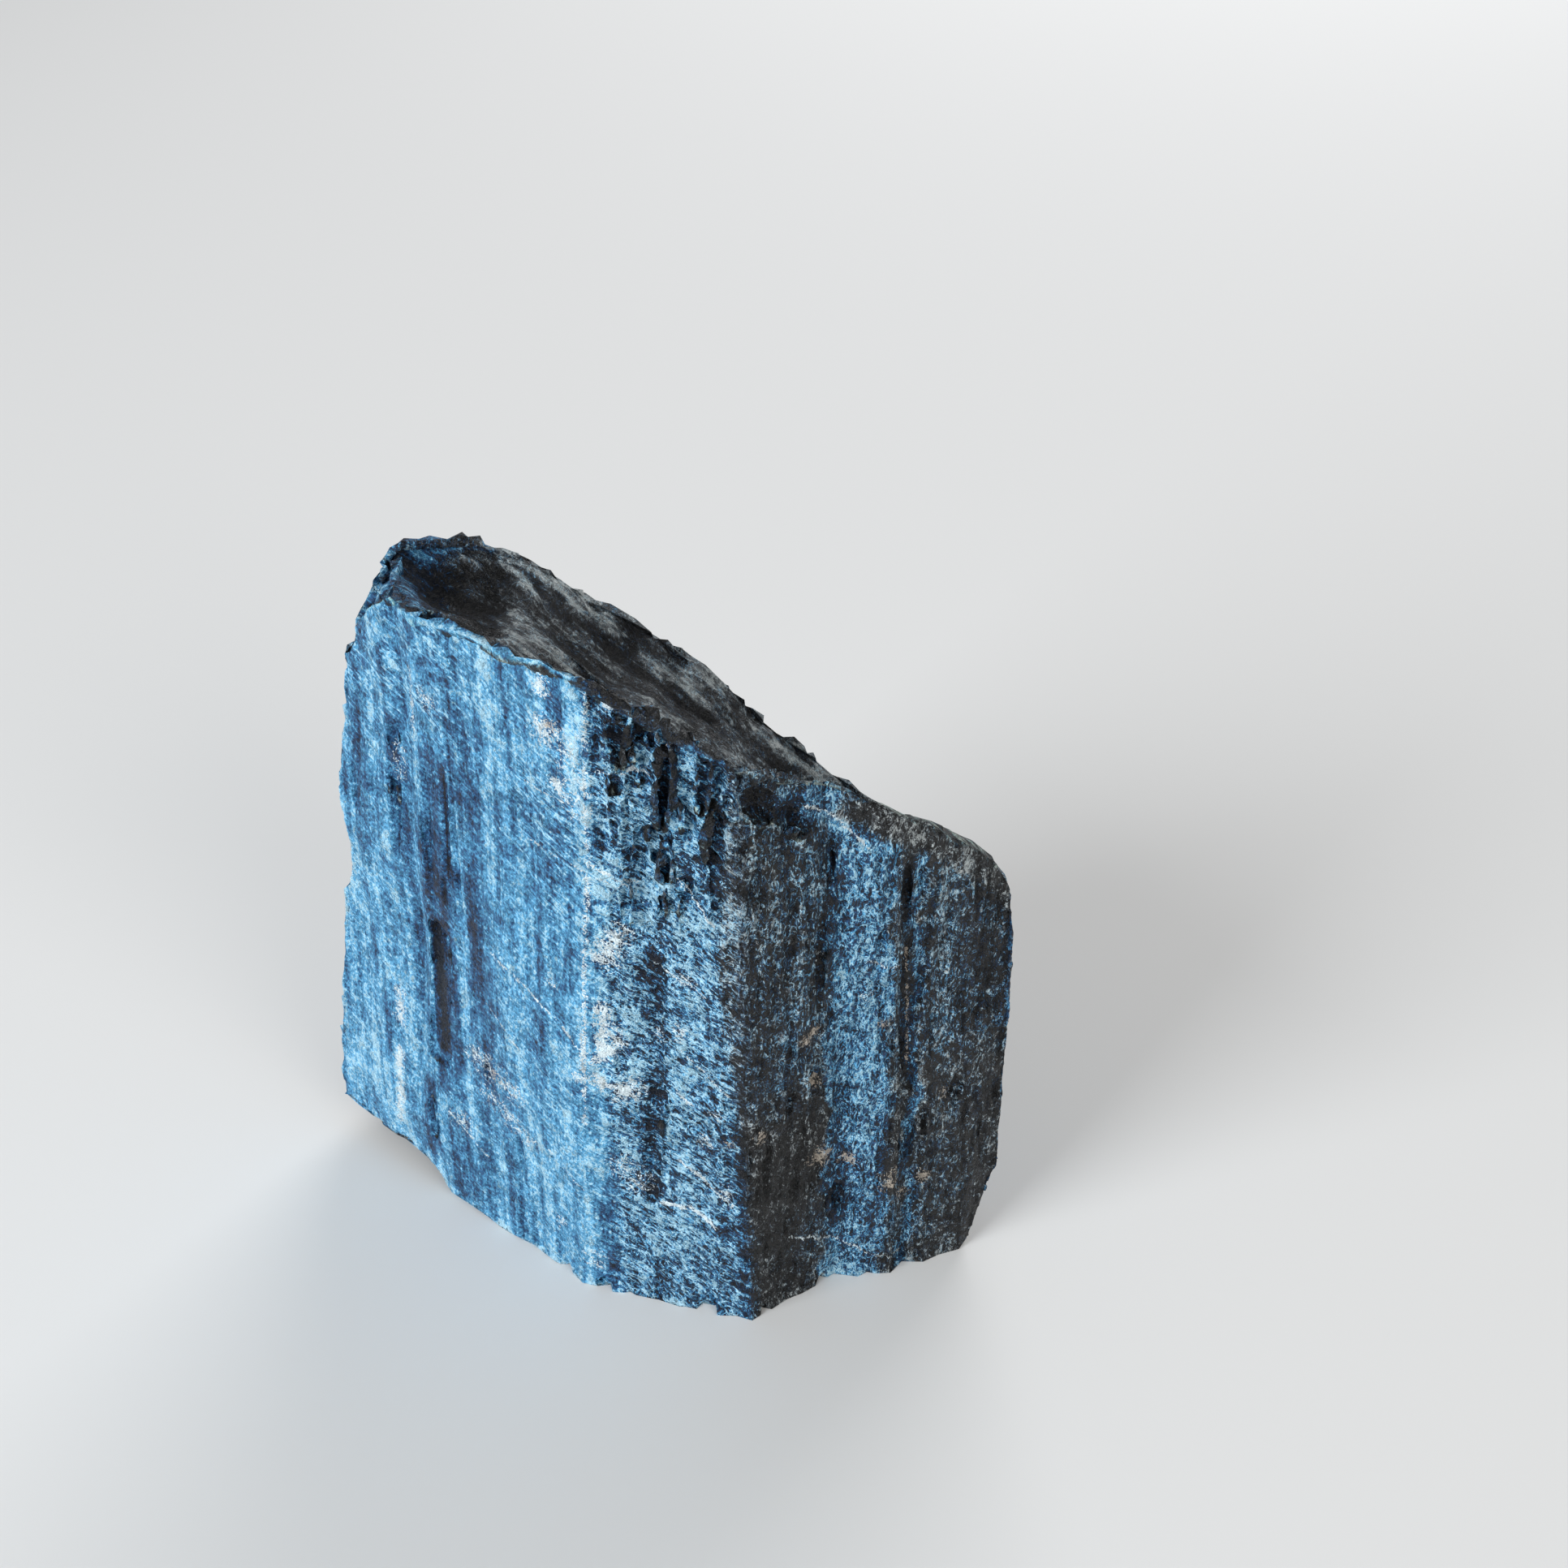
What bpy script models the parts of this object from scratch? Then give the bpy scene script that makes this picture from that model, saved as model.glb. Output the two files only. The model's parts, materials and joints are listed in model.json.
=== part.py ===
"""Black tourmaline: one broken chunk of a striated prism, standing on its underside.

Lengths in the tables below are in millimetres, X to the right, Y to the back, Z up. The tables
are measured from the foot of the front corner, and the finished stone is moved so that its
origin is the centre of its bounding box, at the bottom. The object itself is in metres.
"""

import random

import bmesh
import bpy
from mathutils import Matrix, Vector, noise

MM = 0.001
SEED = 7

# The prism's corners in plan, anticlockwise from the front corner: (x, y) at the foot, (x, y) at
# PRISM_TOP, and how deep the growth ribs are on the face that starts at this corner.
PRISM_FOOT = -3.0
PRISM_TOP = 62.0
CORNERS = [
    ((0.5, -0.2), (-0.4, 0.1), 0.45),
    ((7.2, 3.9), (6.9, 3.8), 0.25),
    ((11.5, 4.9), (11.4, 4.9), 0.6),
    ((20.1, 9.6), (20.7, 9.7), 0.5),
    ((20.8, 18.0), (19.1, 17.5), 0.8),
    ((18.0, 26.5), (16.0, 24.5), 0.4),
    ((9.5, 32.5), (8.0, 29.5), 0.9),
    ((0.5, 34.0), (0.0, 31.0), 0.4),
    ((-13.0, 37.4), (-12.0, 33.5), 0.8),
    ((-22.0, 36.0), (-19.0, 32.0), 0.4),
    ((-30.0, 30.0), (-24.0, 26.5), 0.7),
    ((-36.0, 23.2), (-28.1, 18.5), 0.4),
    ((-27.7, 16.0), (-23.6, 12.4), 0.2),
    ((-13.2, 3.7), (-10.1, 1.9), 0.4),
]
FRONT_CORNERS = CORNERS[-3:] + CORNERS[:4]
COLUMN_WIDTH = 1.4
LEVELS = 14
# The faces bulge and sink gently, and a little less quickly along the prism than around it.
WAVINESS = 0.9
WAVE_LENGTH = 14.0
WAVE_STRETCH = 0.85

# Flat breaks across the hidden sides: (name, a point on the break, its outward direction).
SIDE_BREAKS = [
    ("back_right_break", (15.0, 29.0, 17.0), (0.52, 0.74, -0.42)),
    ("back_left_break", (-25.0, 31.2, 35.5), (-0.42, 0.86, 0.30)),
    ("back_break", (-3.0, 33.6, 34.0), (0.16, 0.93, 0.34)),
    ("right_break", (20.4, 17.0, 12.0), (0.93, 0.17, -0.33)),
]
BREAK_BLOCK = 90.0

# Growth channels that run up the front faces: (foot x, top x, half width, depth).
CHANNELS = [(-7.0, -6.0, 1.0, 1.3), (6.9, 6.3, 0.9, 0.9), (12.4, 12.0, 0.9, 0.9), (-27.2, -24.0, 1.0, 0.8)]
CHANNEL_MAX_Y = 17.0

# Height of the broken top against x: the raised rim over the front faces, and the floor behind it.
RIM = [(-34.0, 46.0), (-28.8, 50.6), (-27.2, 54.6), (-25.6, 56.9), (-21.0, 57.4), (-10.0, 57.5),
       (-5.0, 54.6), (0.0, 52.0), (5.0, 48.7), (9.0, 46.4), (14.5, 42.3), (18.0, 38.8), (20.5, 33.7),
       (23.0, 28.0)]
FLOOR = [(-34.0, 46.0), (-26.5, 51.6), (-23.5, 53.0), (-20.0, 53.4), (-16.0, 52.2), (-11.0, 48.6),
         (-7.0, 46.0), (-2.0, 42.2), (1.0, 39.2), (5.0, 35.0), (9.0, 31.0), (15.0, 27.0), (23.0, 23.5)]
RIM_THICKNESS = 1.3
# How far behind the rim the floor is reached, against x: a steep wall on the left, a round
# shoulder on the right.
WALL_RUN = [(-30.0, 11.0), (-25.5, 9.0), (-20.0, 3.5), (0.0, 4.5), (6.0, 8.5), (20.0, 11.0)]
# The ridge along the back of the top, and the slope behind it.
RIDGE_Y = 25.5
RIDGE_HALF_WIDTH = 5.0
RIDGE_HEIGHT = 2.6
BACK_SLOPE = 0.9
# The break is coarser on the floor than on the rim.
TOP_ROUGHNESS = 1.1
TOP_LUMP = 9.0
RIM_SHARE = 0.35

# The underside: flat where it rests, rising at the left end, at the back and at the lower right corner.
LEFT_LIFT_FROM = -21.0
LEFT_LIFT_SLOPE = 0.30
RIGHT_LIFT_FROM = 18.2
RIGHT_LIFT_SLOPE = 3.6
BACK_LIFT_FROM = 28.0
BACK_LIFT_SLOPE = 0.35
UNDERSIDE_ROUGHNESS = 1.7
UNDERSIDE_LUMP = 11.0
UNDERSIDE_WEAR = 0.55

# Where the two breaks sample the noise, its roughness exponent, the ratio between its octaves and
# how many there are.
TOP_NOISE_PLANE = 3.7
UNDERSIDE_NOISE_PLANE = 6.7
NOISE_EXPONENT = 1.0
NOISE_LACUNARITY = 2.1
NOISE_OCTAVES = 4

CUTTER_CELL = 1.4
CUTTER_CENTRE = (-6.0, 18.0)
CUTTER_SIZE = (66.0, 50.0)
CUTTER_REACH = 30.0

STONE_COLOUR = (0.035, 0.042, 0.052, 1.0)
STONE_ROUGHNESS = 0.42


def clear_scene():
    for obj in list(bpy.data.objects):
        bpy.data.objects.remove(obj)


def between(table, x):
    """The value at x on a polyline of (x, value) points."""
    if x <= table[0][0]:
        return table[0][1]
    for (x0, low), (x1, high) in zip(table, table[1:]):
        if x <= x1:
            return low + (high - low) * (x - x0) / (x1 - x0)
    return table[-1][1]


def ease(amount):
    """0 to 1 with level ends."""
    amount = min(max(amount, 0.0), 1.0)
    return amount * amount * (3.0 - 2.0 * amount)


def roughness(x, y, plane, lump):
    """Fractal unevenness between about -1 and 1, with its largest lumps about lump across."""
    place = Vector((x / lump, y / lump, plane))
    return noise.fractal(place, NOISE_EXPONENT, NOISE_LACUNARITY, NOISE_OCTAVES)


def face_columns():
    """Each column of the prism: the corner before it, how far to the next one, and its rib's depth."""
    ribs = random.Random(SEED)
    columns = []
    for index, (foot, _, depth) in enumerate(CORNERS):
        following = Vector(CORNERS[(index + 1) % len(CORNERS)][0])
        count = max(2, round((following - Vector(foot)).length / COLUMN_WIDTH))
        for step in range(count):
            rib = 0.0 if step == 0 else depth * ribs.random()
            columns.append((index, step / count, rib))
    return columns


def channel_depth(x, y, rise):
    """How deep the growth channels cut at this place on the front."""
    if y > CHANNEL_MAX_Y:
        return 0.0
    depth = 0.0
    for foot_x, top_x, half_width, deepest in CHANNELS:
        centre = foot_x + (top_x - foot_x) * rise
        depth = max(depth, deepest * ease(1.0 - abs(x - centre) / half_width))
    return depth


def column_point(column, rise):
    """Where this column stands at a height from 0, the prism's foot, to 1, its top."""
    index, along, rib = column
    foot, top, _ = CORNERS[index]
    next_foot, next_top, _ = CORNERS[(index + 1) % len(CORNERS)]
    start = Vector(foot).lerp(Vector(top), rise)
    end = Vector(next_foot).lerp(Vector(next_top), rise)
    place = start.lerp(end, along)
    inward = Vector((start.y - end.y, end.x - start.x)).normalized()
    height = PRISM_FOOT + (PRISM_TOP - PRISM_FOOT) * rise
    wave = WAVINESS * noise.noise(Vector((place.x, place.y, height * WAVE_STRETCH)) / WAVE_LENGTH)
    place += inward * (rib + channel_depth(place.x, place.y, rise) + wave)
    return Vector((place.x, place.y, height)) * MM


def striated_prism():
    """The prism before its ends are broken: a ribbed outline, extruded level by level."""
    columns = face_columns()
    mesh = bmesh.new()
    face = mesh.faces.new([mesh.verts.new(column_point(column, 0.0)) for column in columns])
    for level in range(1, LEVELS + 1):
        below = face
        extruded = bmesh.ops.extrude_face_region(mesh, geom=[below])["geom"]
        face = next(item for item in extruded if isinstance(item, bmesh.types.BMFace))
        if level > 1:
            mesh.faces.remove(below)
        for vert, column in zip(face.verts, columns):
            vert.co = column_point(column, level / LEVELS)
    bmesh.ops.recalc_face_normals(mesh, faces=mesh.faces)
    return finished("tourmaline", mesh)


def behind_front(x, y):
    """How far a place lies behind the nearest front face, in plan."""
    distances = []
    for (_, start, _), (_, end, _) in zip(FRONT_CORNERS, FRONT_CORNERS[1:]):
        along = Vector(end) - Vector(start)
        offset = Vector((x, y)) - Vector(start)
        share = min(max(offset.dot(along) / along.length_squared, 0.0), 1.0)
        distances.append((offset - along * share).length)
    return min(distances)


def top_height(x, y):
    """The broken top: rim, trough, back ridge and the slope behind it."""
    wall = ease((behind_front(x, y) - RIM_THICKNESS) / between(WALL_RUN, x))
    height = between(RIM, x) * (1.0 - wall) + between(FLOOR, x) * wall
    ridge = ease(1.0 - abs(y - RIDGE_Y) / RIDGE_HALF_WIDTH)
    height += RIDGE_HEIGHT * ridge
    height -= BACK_SLOPE * max(0.0, y - RIDGE_Y)
    coarseness = RIM_SHARE + (1.0 - RIM_SHARE) * wall
    return height + TOP_ROUGHNESS * coarseness * roughness(x, y, TOP_NOISE_PLANE, TOP_LUMP)


def underside_height(x, y):
    """The broken underside, worn flat at the table."""
    height = LEFT_LIFT_SLOPE * max(0.0, LEFT_LIFT_FROM - x)
    height += RIGHT_LIFT_SLOPE * max(0.0, x - RIGHT_LIFT_FROM)
    height += BACK_LIFT_SLOPE * max(0.0, y - BACK_LIFT_FROM)
    height += UNDERSIDE_ROUGHNESS * roughness(x, y, UNDERSIDE_NOISE_PLANE, UNDERSIDE_LUMP)
    return max(0.0, height - UNDERSIDE_WEAR)


def break_cutter(name, height_at, reach):
    """A closed block with one uneven side, which breaks off all that is past that side."""
    mesh = bmesh.new()
    cells = [round(size / CUTTER_CELL) for size in CUTTER_SIZE]
    bmesh.ops.create_grid(mesh, x_segments=cells[0], y_segments=cells[1], size=0.5)
    for vert in mesh.verts:
        x = CUTTER_CENTRE[0] + vert.co.x * CUTTER_SIZE[0]
        y = CUTTER_CENTRE[1] + vert.co.y * CUTTER_SIZE[1]
        vert.co = Vector((x, y, height_at(x, y))) * MM
    bmesh.ops.triangulate(mesh, faces=mesh.faces)
    extruded = bmesh.ops.extrude_face_region(mesh, geom=mesh.faces)["geom"]
    for vert in (item for item in extruded if isinstance(item, bmesh.types.BMVert)):
        vert.co.z = reach * MM
    bmesh.ops.recalc_face_normals(mesh, faces=mesh.faces)
    return finished(name, mesh)


def block_cutter(name, point, outward):
    """A block that lies against one flat break, on the side that is gone."""
    mesh = bmesh.new()
    turn = Vector(outward).to_track_quat("Z", "Y").to_matrix().to_4x4()
    place = Matrix.Translation(Vector(point) * MM) @ turn @ Matrix.Translation((0, 0, BREAK_BLOCK * MM / 2))
    bmesh.ops.create_cube(mesh, size=BREAK_BLOCK * MM, matrix=place)
    return finished(name, mesh)


def finished(name, mesh):
    """Turns a bmesh into an object of the scene."""
    data = bpy.data.meshes.new(name)
    mesh.to_mesh(data)
    mesh.free()
    obj = bpy.data.objects.new(name, data)
    bpy.context.scene.collection.objects.link(obj)
    return obj


def break_off(stone, cutters):
    """Cuts each break out of the stone in turn, and removes the cutters."""
    for cutter in cutters:
        modifier = stone.modifiers.new(cutter.name, "BOOLEAN")
        modifier.operation = "DIFFERENCE"
        modifier.solver = "EXACT"
        modifier.object = cutter
    bpy.context.view_layer.update()
    evaluated = stone.evaluated_get(bpy.context.evaluated_depsgraph_get())
    stone.data = bpy.data.meshes.new_from_object(evaluated)
    stone.modifiers.clear()
    for cutter in cutters:
        bpy.data.objects.remove(cutter)


def centre_on_origin(stone):
    """Moves the mesh so that the origin is under the middle of its bounding box, on the table."""
    points = [vert.co for vert in stone.data.vertices]
    low = Vector([min(point[axis] for point in points) for axis in range(3)])
    high = Vector([max(point[axis] for point in points) for axis in range(3)])
    middle = (low + high) / 2
    for vert in stone.data.vertices:
        vert.co -= Vector((middle.x, middle.y, low.z))


def stone_material():
    material = bpy.data.materials.new("tourmaline")
    material.use_nodes = True
    shader = material.node_tree.nodes["Principled BSDF"]
    shader.inputs["Base Color"].default_value = STONE_COLOUR
    shader.inputs["Roughness"].default_value = STONE_ROUGHNESS
    shader.inputs["Metallic"].default_value = 0.0
    return material


def main():
    clear_scene()
    stone = striated_prism()
    cutters = [block_cutter(*side_break) for side_break in SIDE_BREAKS]
    cutters.append(break_cutter("top_break", top_height, PRISM_TOP + CUTTER_REACH))
    cutters.append(break_cutter("under_break", underside_height, PRISM_FOOT - CUTTER_REACH))
    break_off(stone, cutters)
    centre_on_origin(stone)
    stone.data.materials.append(stone_material())


main()
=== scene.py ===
# %% [markdown]
# # A black tourmaline, finished
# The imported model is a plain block: right in its size, its faces and its broken ends, but with
# none of the skin of a real crystal. This lesson turns that block into the stone. It keeps the
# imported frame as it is, works on a copy, and ends with the same box that it started with.

# %% Load the frame
import json
import math

import bpy
import numpy as np
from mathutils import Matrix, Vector

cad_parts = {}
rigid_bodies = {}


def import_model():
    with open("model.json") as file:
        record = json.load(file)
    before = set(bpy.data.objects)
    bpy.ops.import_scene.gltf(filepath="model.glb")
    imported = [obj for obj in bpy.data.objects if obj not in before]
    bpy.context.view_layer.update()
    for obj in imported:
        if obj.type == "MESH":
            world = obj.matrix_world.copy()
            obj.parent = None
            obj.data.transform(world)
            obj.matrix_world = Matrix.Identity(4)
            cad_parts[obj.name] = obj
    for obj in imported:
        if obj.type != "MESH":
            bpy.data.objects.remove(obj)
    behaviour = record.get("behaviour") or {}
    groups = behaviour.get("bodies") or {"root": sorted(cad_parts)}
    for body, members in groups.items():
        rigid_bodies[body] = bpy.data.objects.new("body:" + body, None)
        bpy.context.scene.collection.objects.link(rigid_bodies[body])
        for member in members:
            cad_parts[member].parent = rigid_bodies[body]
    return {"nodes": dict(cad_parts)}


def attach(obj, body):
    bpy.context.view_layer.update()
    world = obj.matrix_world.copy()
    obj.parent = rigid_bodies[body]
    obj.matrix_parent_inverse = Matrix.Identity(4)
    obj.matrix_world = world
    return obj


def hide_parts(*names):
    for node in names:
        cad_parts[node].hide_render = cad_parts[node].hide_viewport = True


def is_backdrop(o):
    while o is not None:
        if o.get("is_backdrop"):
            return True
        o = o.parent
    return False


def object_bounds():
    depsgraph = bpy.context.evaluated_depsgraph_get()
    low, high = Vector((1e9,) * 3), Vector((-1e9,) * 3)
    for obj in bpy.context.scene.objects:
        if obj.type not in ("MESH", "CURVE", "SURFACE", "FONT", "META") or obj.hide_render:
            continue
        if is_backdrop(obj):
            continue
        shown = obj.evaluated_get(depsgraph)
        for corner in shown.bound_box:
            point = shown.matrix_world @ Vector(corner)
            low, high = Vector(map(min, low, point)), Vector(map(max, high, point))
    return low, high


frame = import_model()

MM = 0.001
SEED = 11
chance = np.random.default_rng(SEED)
cad_low, cad_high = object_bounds()
print("the block measures", [round(side / MM, 1) for side in cad_high - cad_low], "mm")

# %% [markdown]
# ## The stone's own measure
# Every place on the stone is given in millimetres from the foot of its front corner, the vertical
# edge that points at the camera: x to the right, y to the back, z up. That is how the crystal
# would be measured on a bench, and it keeps the tables below short and readable.

# %% The front corner
FRONT_CORNER = np.array([7.467, -18.482, 0.0])
# The front is three faces wide: each starts at x, and falls back by slope mm for each mm of x.
FACE_EDGE_X = -13.0
FACE_EDGE_Y = 3.6
LEFT_SLOPE, MIDDLE_SLOPE, RIGHT_SLOPE = -0.85, -0.28, 0.48


def front_y(x):
    """How far back the front faces lie at x."""
    if x < FACE_EDGE_X:
        return FACE_EDGE_Y + LEFT_SLOPE * (x - FACE_EDGE_X)
    return x * (MIDDLE_SLOPE if x < 0 else RIGHT_SLOPE)


# %% [markdown]
# ## A copy to work on
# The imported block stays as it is. Its copy is merged first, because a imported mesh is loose
# triangles, and then gets an even skin by voxel remeshing, as a sculptor would do before carving.

# %% Copy, merge and remesh
CARVING_VOXEL = 0.34

bpy.ops.object.select_all(action="DESELECT")
stone = bpy.data.objects.new("black_tourmaline", frame["nodes"]["tourmaline"].data.copy())
bpy.context.scene.collection.objects.link(stone)
stone.data.materials.clear()


def only(piece):
    """Makes one object the selected and active one."""
    bpy.ops.object.select_all(action="DESELECT")
    piece.select_set(True)
    bpy.context.view_layer.objects.active = piece


def reskin(piece, voxel):
    """An even skin of quads, voxel in mm."""
    only(piece)
    piece.data.remesh_voxel_size = voxel * MM
    bpy.ops.object.voxel_remesh()


only(stone)
bpy.ops.object.mode_set(mode="EDIT")
bpy.ops.mesh.select_all(action="SELECT")
bpy.ops.mesh.remove_doubles(threshold=0.001 * MM)
bpy.ops.mesh.normals_make_consistent(inside=False)
bpy.ops.object.mode_set(mode="OBJECT")
print("block of", len(stone.data.polygons), "merged triangles")

# %% Reading the mesh
def places():
    """Each vertex's place in mm from the front corner's foot."""
    flat = np.empty(len(stone.data.vertices) * 3, np.float32)
    stone.data.vertices.foreach_get("co", flat)
    return flat.reshape(-1, 3) / MM - FRONT_CORNER


def normals():
    """The way each vertex faces."""
    flat = np.empty(len(stone.data.vertices) * 3, np.float32)
    stone.data.vertex_normals.foreach_get("vector", flat)
    return flat.reshape(-1, 3)


def spread(values, rounds):
    """Values averaged with their neighbours', again and again."""
    ends = np.empty(len(stone.data.edges) * 2, np.int32)
    stone.data.edges.foreach_get("vertices", ends)
    start, end = np.concatenate([ends[0::2], ends[1::2]]), np.concatenate([ends[1::2], ends[0::2]])
    count = np.bincount(start, minlength=len(values))[:, None]
    for _ in range(rounds):
        total = [np.bincount(start, values[end, axis], len(values)) for axis in range(values.shape[1])]
        values = 0.5 * values + 0.5 * np.stack(total, axis=1) / np.maximum(count, 1)
    return values


def ramp(values, low, high):
    """0 at low, 1 at high, and an even S between them."""
    share = np.clip((values - low) / (high - low), 0, 1)
    return share * share * (3 - 2 * share)


def facings(rounds):
    """The way the stone faces around each vertex."""
    found = spread(normals(), rounds)
    return found / np.linalg.norm(found, axis=1)[:, None]


def heights(rounds, facing):
    """How far each vertex stands out of its neighbourhood, in mm. In a hollow it is negative."""
    place = places()
    return ((place - spread(place, rounds)) * facing).sum(axis=1)


def on_front(x, z):
    """Where the stone's front is at x and z, found with a ray from the front."""
    start = Vector(FRONT_CORNER + (x, -30, z)) * MM
    hit, where, _, _ = stone.ray_cast(start, Vector((0, 1, 0)))
    return np.array(where) / MM - FRONT_CORNER if hit else np.array((x, front_y(x), z))


reskin(stone, CARVING_VOXEL)
print("block of", len(stone.data.polygons), "quads")

# %% [markdown]
# ## Chips and gaps, cut with chisels
# A stone loses small shells of itself along every edge, and a bundle of needles opens in long
# narrow gaps. Both are cuts, so they are made with a cutter: a faceted ball, stretched and turned
# for each bite, many copies joined in one object, and one Boolean. Carving by displacement would
# round them off.


# %% The chisel
chisels = []


def radians(turn):
    """A turn about each axis, from degrees."""
    return [math.radians(angle) for angle in turn]


def bite(place, size, turn, faces=1):
    """One faceted ball at a place in mm from the front corner, with half sizes in mm and turns in degrees."""
    where = (np.array(place) + FRONT_CORNER) * MM
    bpy.ops.mesh.primitive_ico_sphere_add(subdivisions=faces, radius=1, location=where,
                                          rotation=radians(turn), scale=[half * MM for half in size])
    chisels.append(bpy.context.object)


# %% Chips along the edges
EDGE_SHARE = 0.06
CHIPS, CHIP_HALF_SIZE, CHIP_BITE = 130, (0.7, 2.2), (0.1, 0.4)
BIG_CHIPS, BIG_HALF_SIZE, BIG_BITE = 14, (2.6, 6.0), (0.35, 0.8)
FOOT_CLEAR = 1.5
# No chips at the left and right ends of the front or on the ridge, and few along the lines of the top.
END_LEFT, END_RIGHT, END_BACK, END_TOP = -25, 17, 24, 46
BEHIND, RIDGE_FOOT = 9, 20
TOP_LINES_FOOT, TOP_LINES_SPARED = 26, 0.88

place, facing = places(), facings(6)
height = heights(20, facing)
edge = np.flatnonzero((height > np.quantile(height, 1 - EDGE_SHARE)) & (place[:, 2] > FOOT_CLEAR))
x, y, z = place[edge].T
ends = (y < END_BACK) & ((x < END_LEFT) | (x > END_RIGHT)) & (z < END_TOP)
ridge = (y > BEHIND) & (z > RIDGE_FOOT)
spared = (z > TOP_LINES_FOOT) & (chance.random(len(edge)) < TOP_LINES_SPARED)
edge = edge[~ends & ~ridge & ~spared]
# The big chips stay behind the front, which keeps its own edges.
behind = edge[place[edge, 1] > BEHIND]
print(len(edge), "points along the edges")
small_and_big = ((edge, CHIPS, CHIP_HALF_SIZE, CHIP_BITE), (behind, BIG_CHIPS, BIG_HALF_SIZE, BIG_BITE))
for crowd, count, sizes, bites in small_and_big:
    for index in chance.choice(crowd, count, replace=False):
        size = chance.uniform(*sizes) * chance.uniform(0.5, 1, 3)
        lift = size.min() - chance.uniform(*bites)
        bite(place[index] + facing[index] * lift, size, chance.uniform(0, 360, 3))

# %% Gaps that have a place: x and z of the top, x and z of the bottom, half width and depth
GAPS = [
    (-4.8, 53.0, -5.2, 47.5, 0.28, 1.0), (-5.1, 51.0, -5.6, 44.8, 0.36, 1.4),
    (-6.0, 45.4, -6.0, 42.6, 0.30, 0.9), (-5.3, 43.4, -5.3, 41.2, 0.34, 0.8),
    (-3.8, 41.9, -4.0, 39.8, 0.24, 0.7), (-6.2, 55.2, -5.8, 51.4, 0.26, 0.8),
    (-8.2, 54.2, -8.1, 51.6, 0.30, 0.7), (-2.3, 52.6, -2.4, 47.8, 0.30, 1.0),
    (-2.8, 50.0, -2.8, 47.0, 0.24, 0.8), (-1.5, 48.6, -1.7, 42.8, 0.32, 1.1),
    (-0.7, 49.4, -0.6, 46.8, 0.32, 1.0), (-0.4, 47.4, -0.4, 45.0, 0.24, 0.8),
    (0.2, 48.1, 0.2, 44.8, 0.22, 0.8), (6.3, 44.1, 6.2, 38.8, 0.28, 0.9), (5.8, 39.8, 5.6, 28.0, 0.42, 0.5),
    (11.7, 40.7, 11.8, 32.5, 0.36, 0.9), (11.8, 33.5, 12.0, 17.5, 0.26, 0.45),
    (-20.9, 48.0, -21.3, 29.0, 0.22, 0.3), (-15.1, 31.5, -15.1, 28.6, 0.22, 0.5),
    (-17.9, 12.5, -17.9, 8.0, 0.22, 0.5), (-20.2, 18.5, -20.2, 16.0, 0.22, 0.5),
    (6.9, 10.8, 7.1, 6.4, 0.60, 0.45), (12.7, 16.4, 12.5, 11.6, 0.40, 0.45),
    (-25.6, 45.8, -25.9, 42.8, 0.60, 0.4), (-25.7, 42.5, -26.8, 32.3, 0.55, 0.35),
    (-23.2, 44.5, -23.9, 30.5, 0.50, 0.3), (-21.6, 44.5, -22.3, 30.5, 0.50, 0.3),
    (-25.5, 11.9, -26.3, 4.7, 0.80, 0.35), (-6.0, 34.5, -6.6, 22.0, 0.50, 0.4),
    (-6.5, 24.0, -7.2, 9.5, 0.55, 0.4)
]

for x_top, z_top, x_foot, z_foot, half_width, depth in GAPS:
    middle = on_front((x_top + x_foot) / 2, (z_top + z_foot) / 2)
    lean = math.degrees(math.atan2(x_top - x_foot, z_top - z_foot))
    bite(middle, (half_width, depth, math.hypot(x_top - x_foot, z_top - z_foot) / 2), (0, lean, 0), faces=2)
print(len(GAPS), "gaps with a place of their own")

# %% Crowds of small gaps: left, right, bottom and top of each crowd, and how many
CROWDS = [
    (-9.6, -0.6, 38, 54, 20), (-8.0, -4.0, 42, 56, 8), (-9.6, -0.6, 6, 38, 8), (0.4, 5.4, 20, 46, 16),
    (10.8, 19.0, 8, 40, 12), (-30, -21, 8, 48, 5)
]
GAP_HALF_WIDTH, GAP_DEPTH, GAP_HALF_HEIGHT = (0.18, 0.28), (0.25, 0.7), (0.9, 2.8)

for left, right, low, high, count in CROWDS:
    for _ in range(count):
        spot = on_front(chance.uniform(left, right), chance.uniform(low, high))
        size = (chance.uniform(*GAP_HALF_WIDTH), chance.uniform(*GAP_DEPTH), chance.uniform(*GAP_HALF_HEIGHT))
        bite(spot, size, (0, chance.normal(2, 6), chance.uniform(-25, 25)))
print(sum(crowd[-1] for crowd in CROWDS), "small gaps")

# %% The scoop under the rim, the worn foot, and the hollow right and left ends
# The scoop is two bites: x and z, half sizes and turn.
SCOOP = [((1.7, 47.9), (2.3, 0.9, 0.95), (0, 38, 20)), ((3.6, 45.9), (2.2, 0.6, 0.5), (0, 42, 25))]
# Bites along the foot: x and z, and how big.
FOOT_BITES = [(-14.6, 0.2, 0.7), (-11.4, 0.3, 1.0), (-9.3, 0.2, 0.45), (-7.4, 0.4, 0.7), (-4.9, 0.2, 0.5),
              (-3.2, 0.3, 0.9), (-0.9, 0.3, 0.4), (1.6, 0.3, 0.6), (6.0, 0.3, 0.8), (9.6, 0.3, 0.5)]
FOOT_UNEVEN = (0.7, 1.1)
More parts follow.
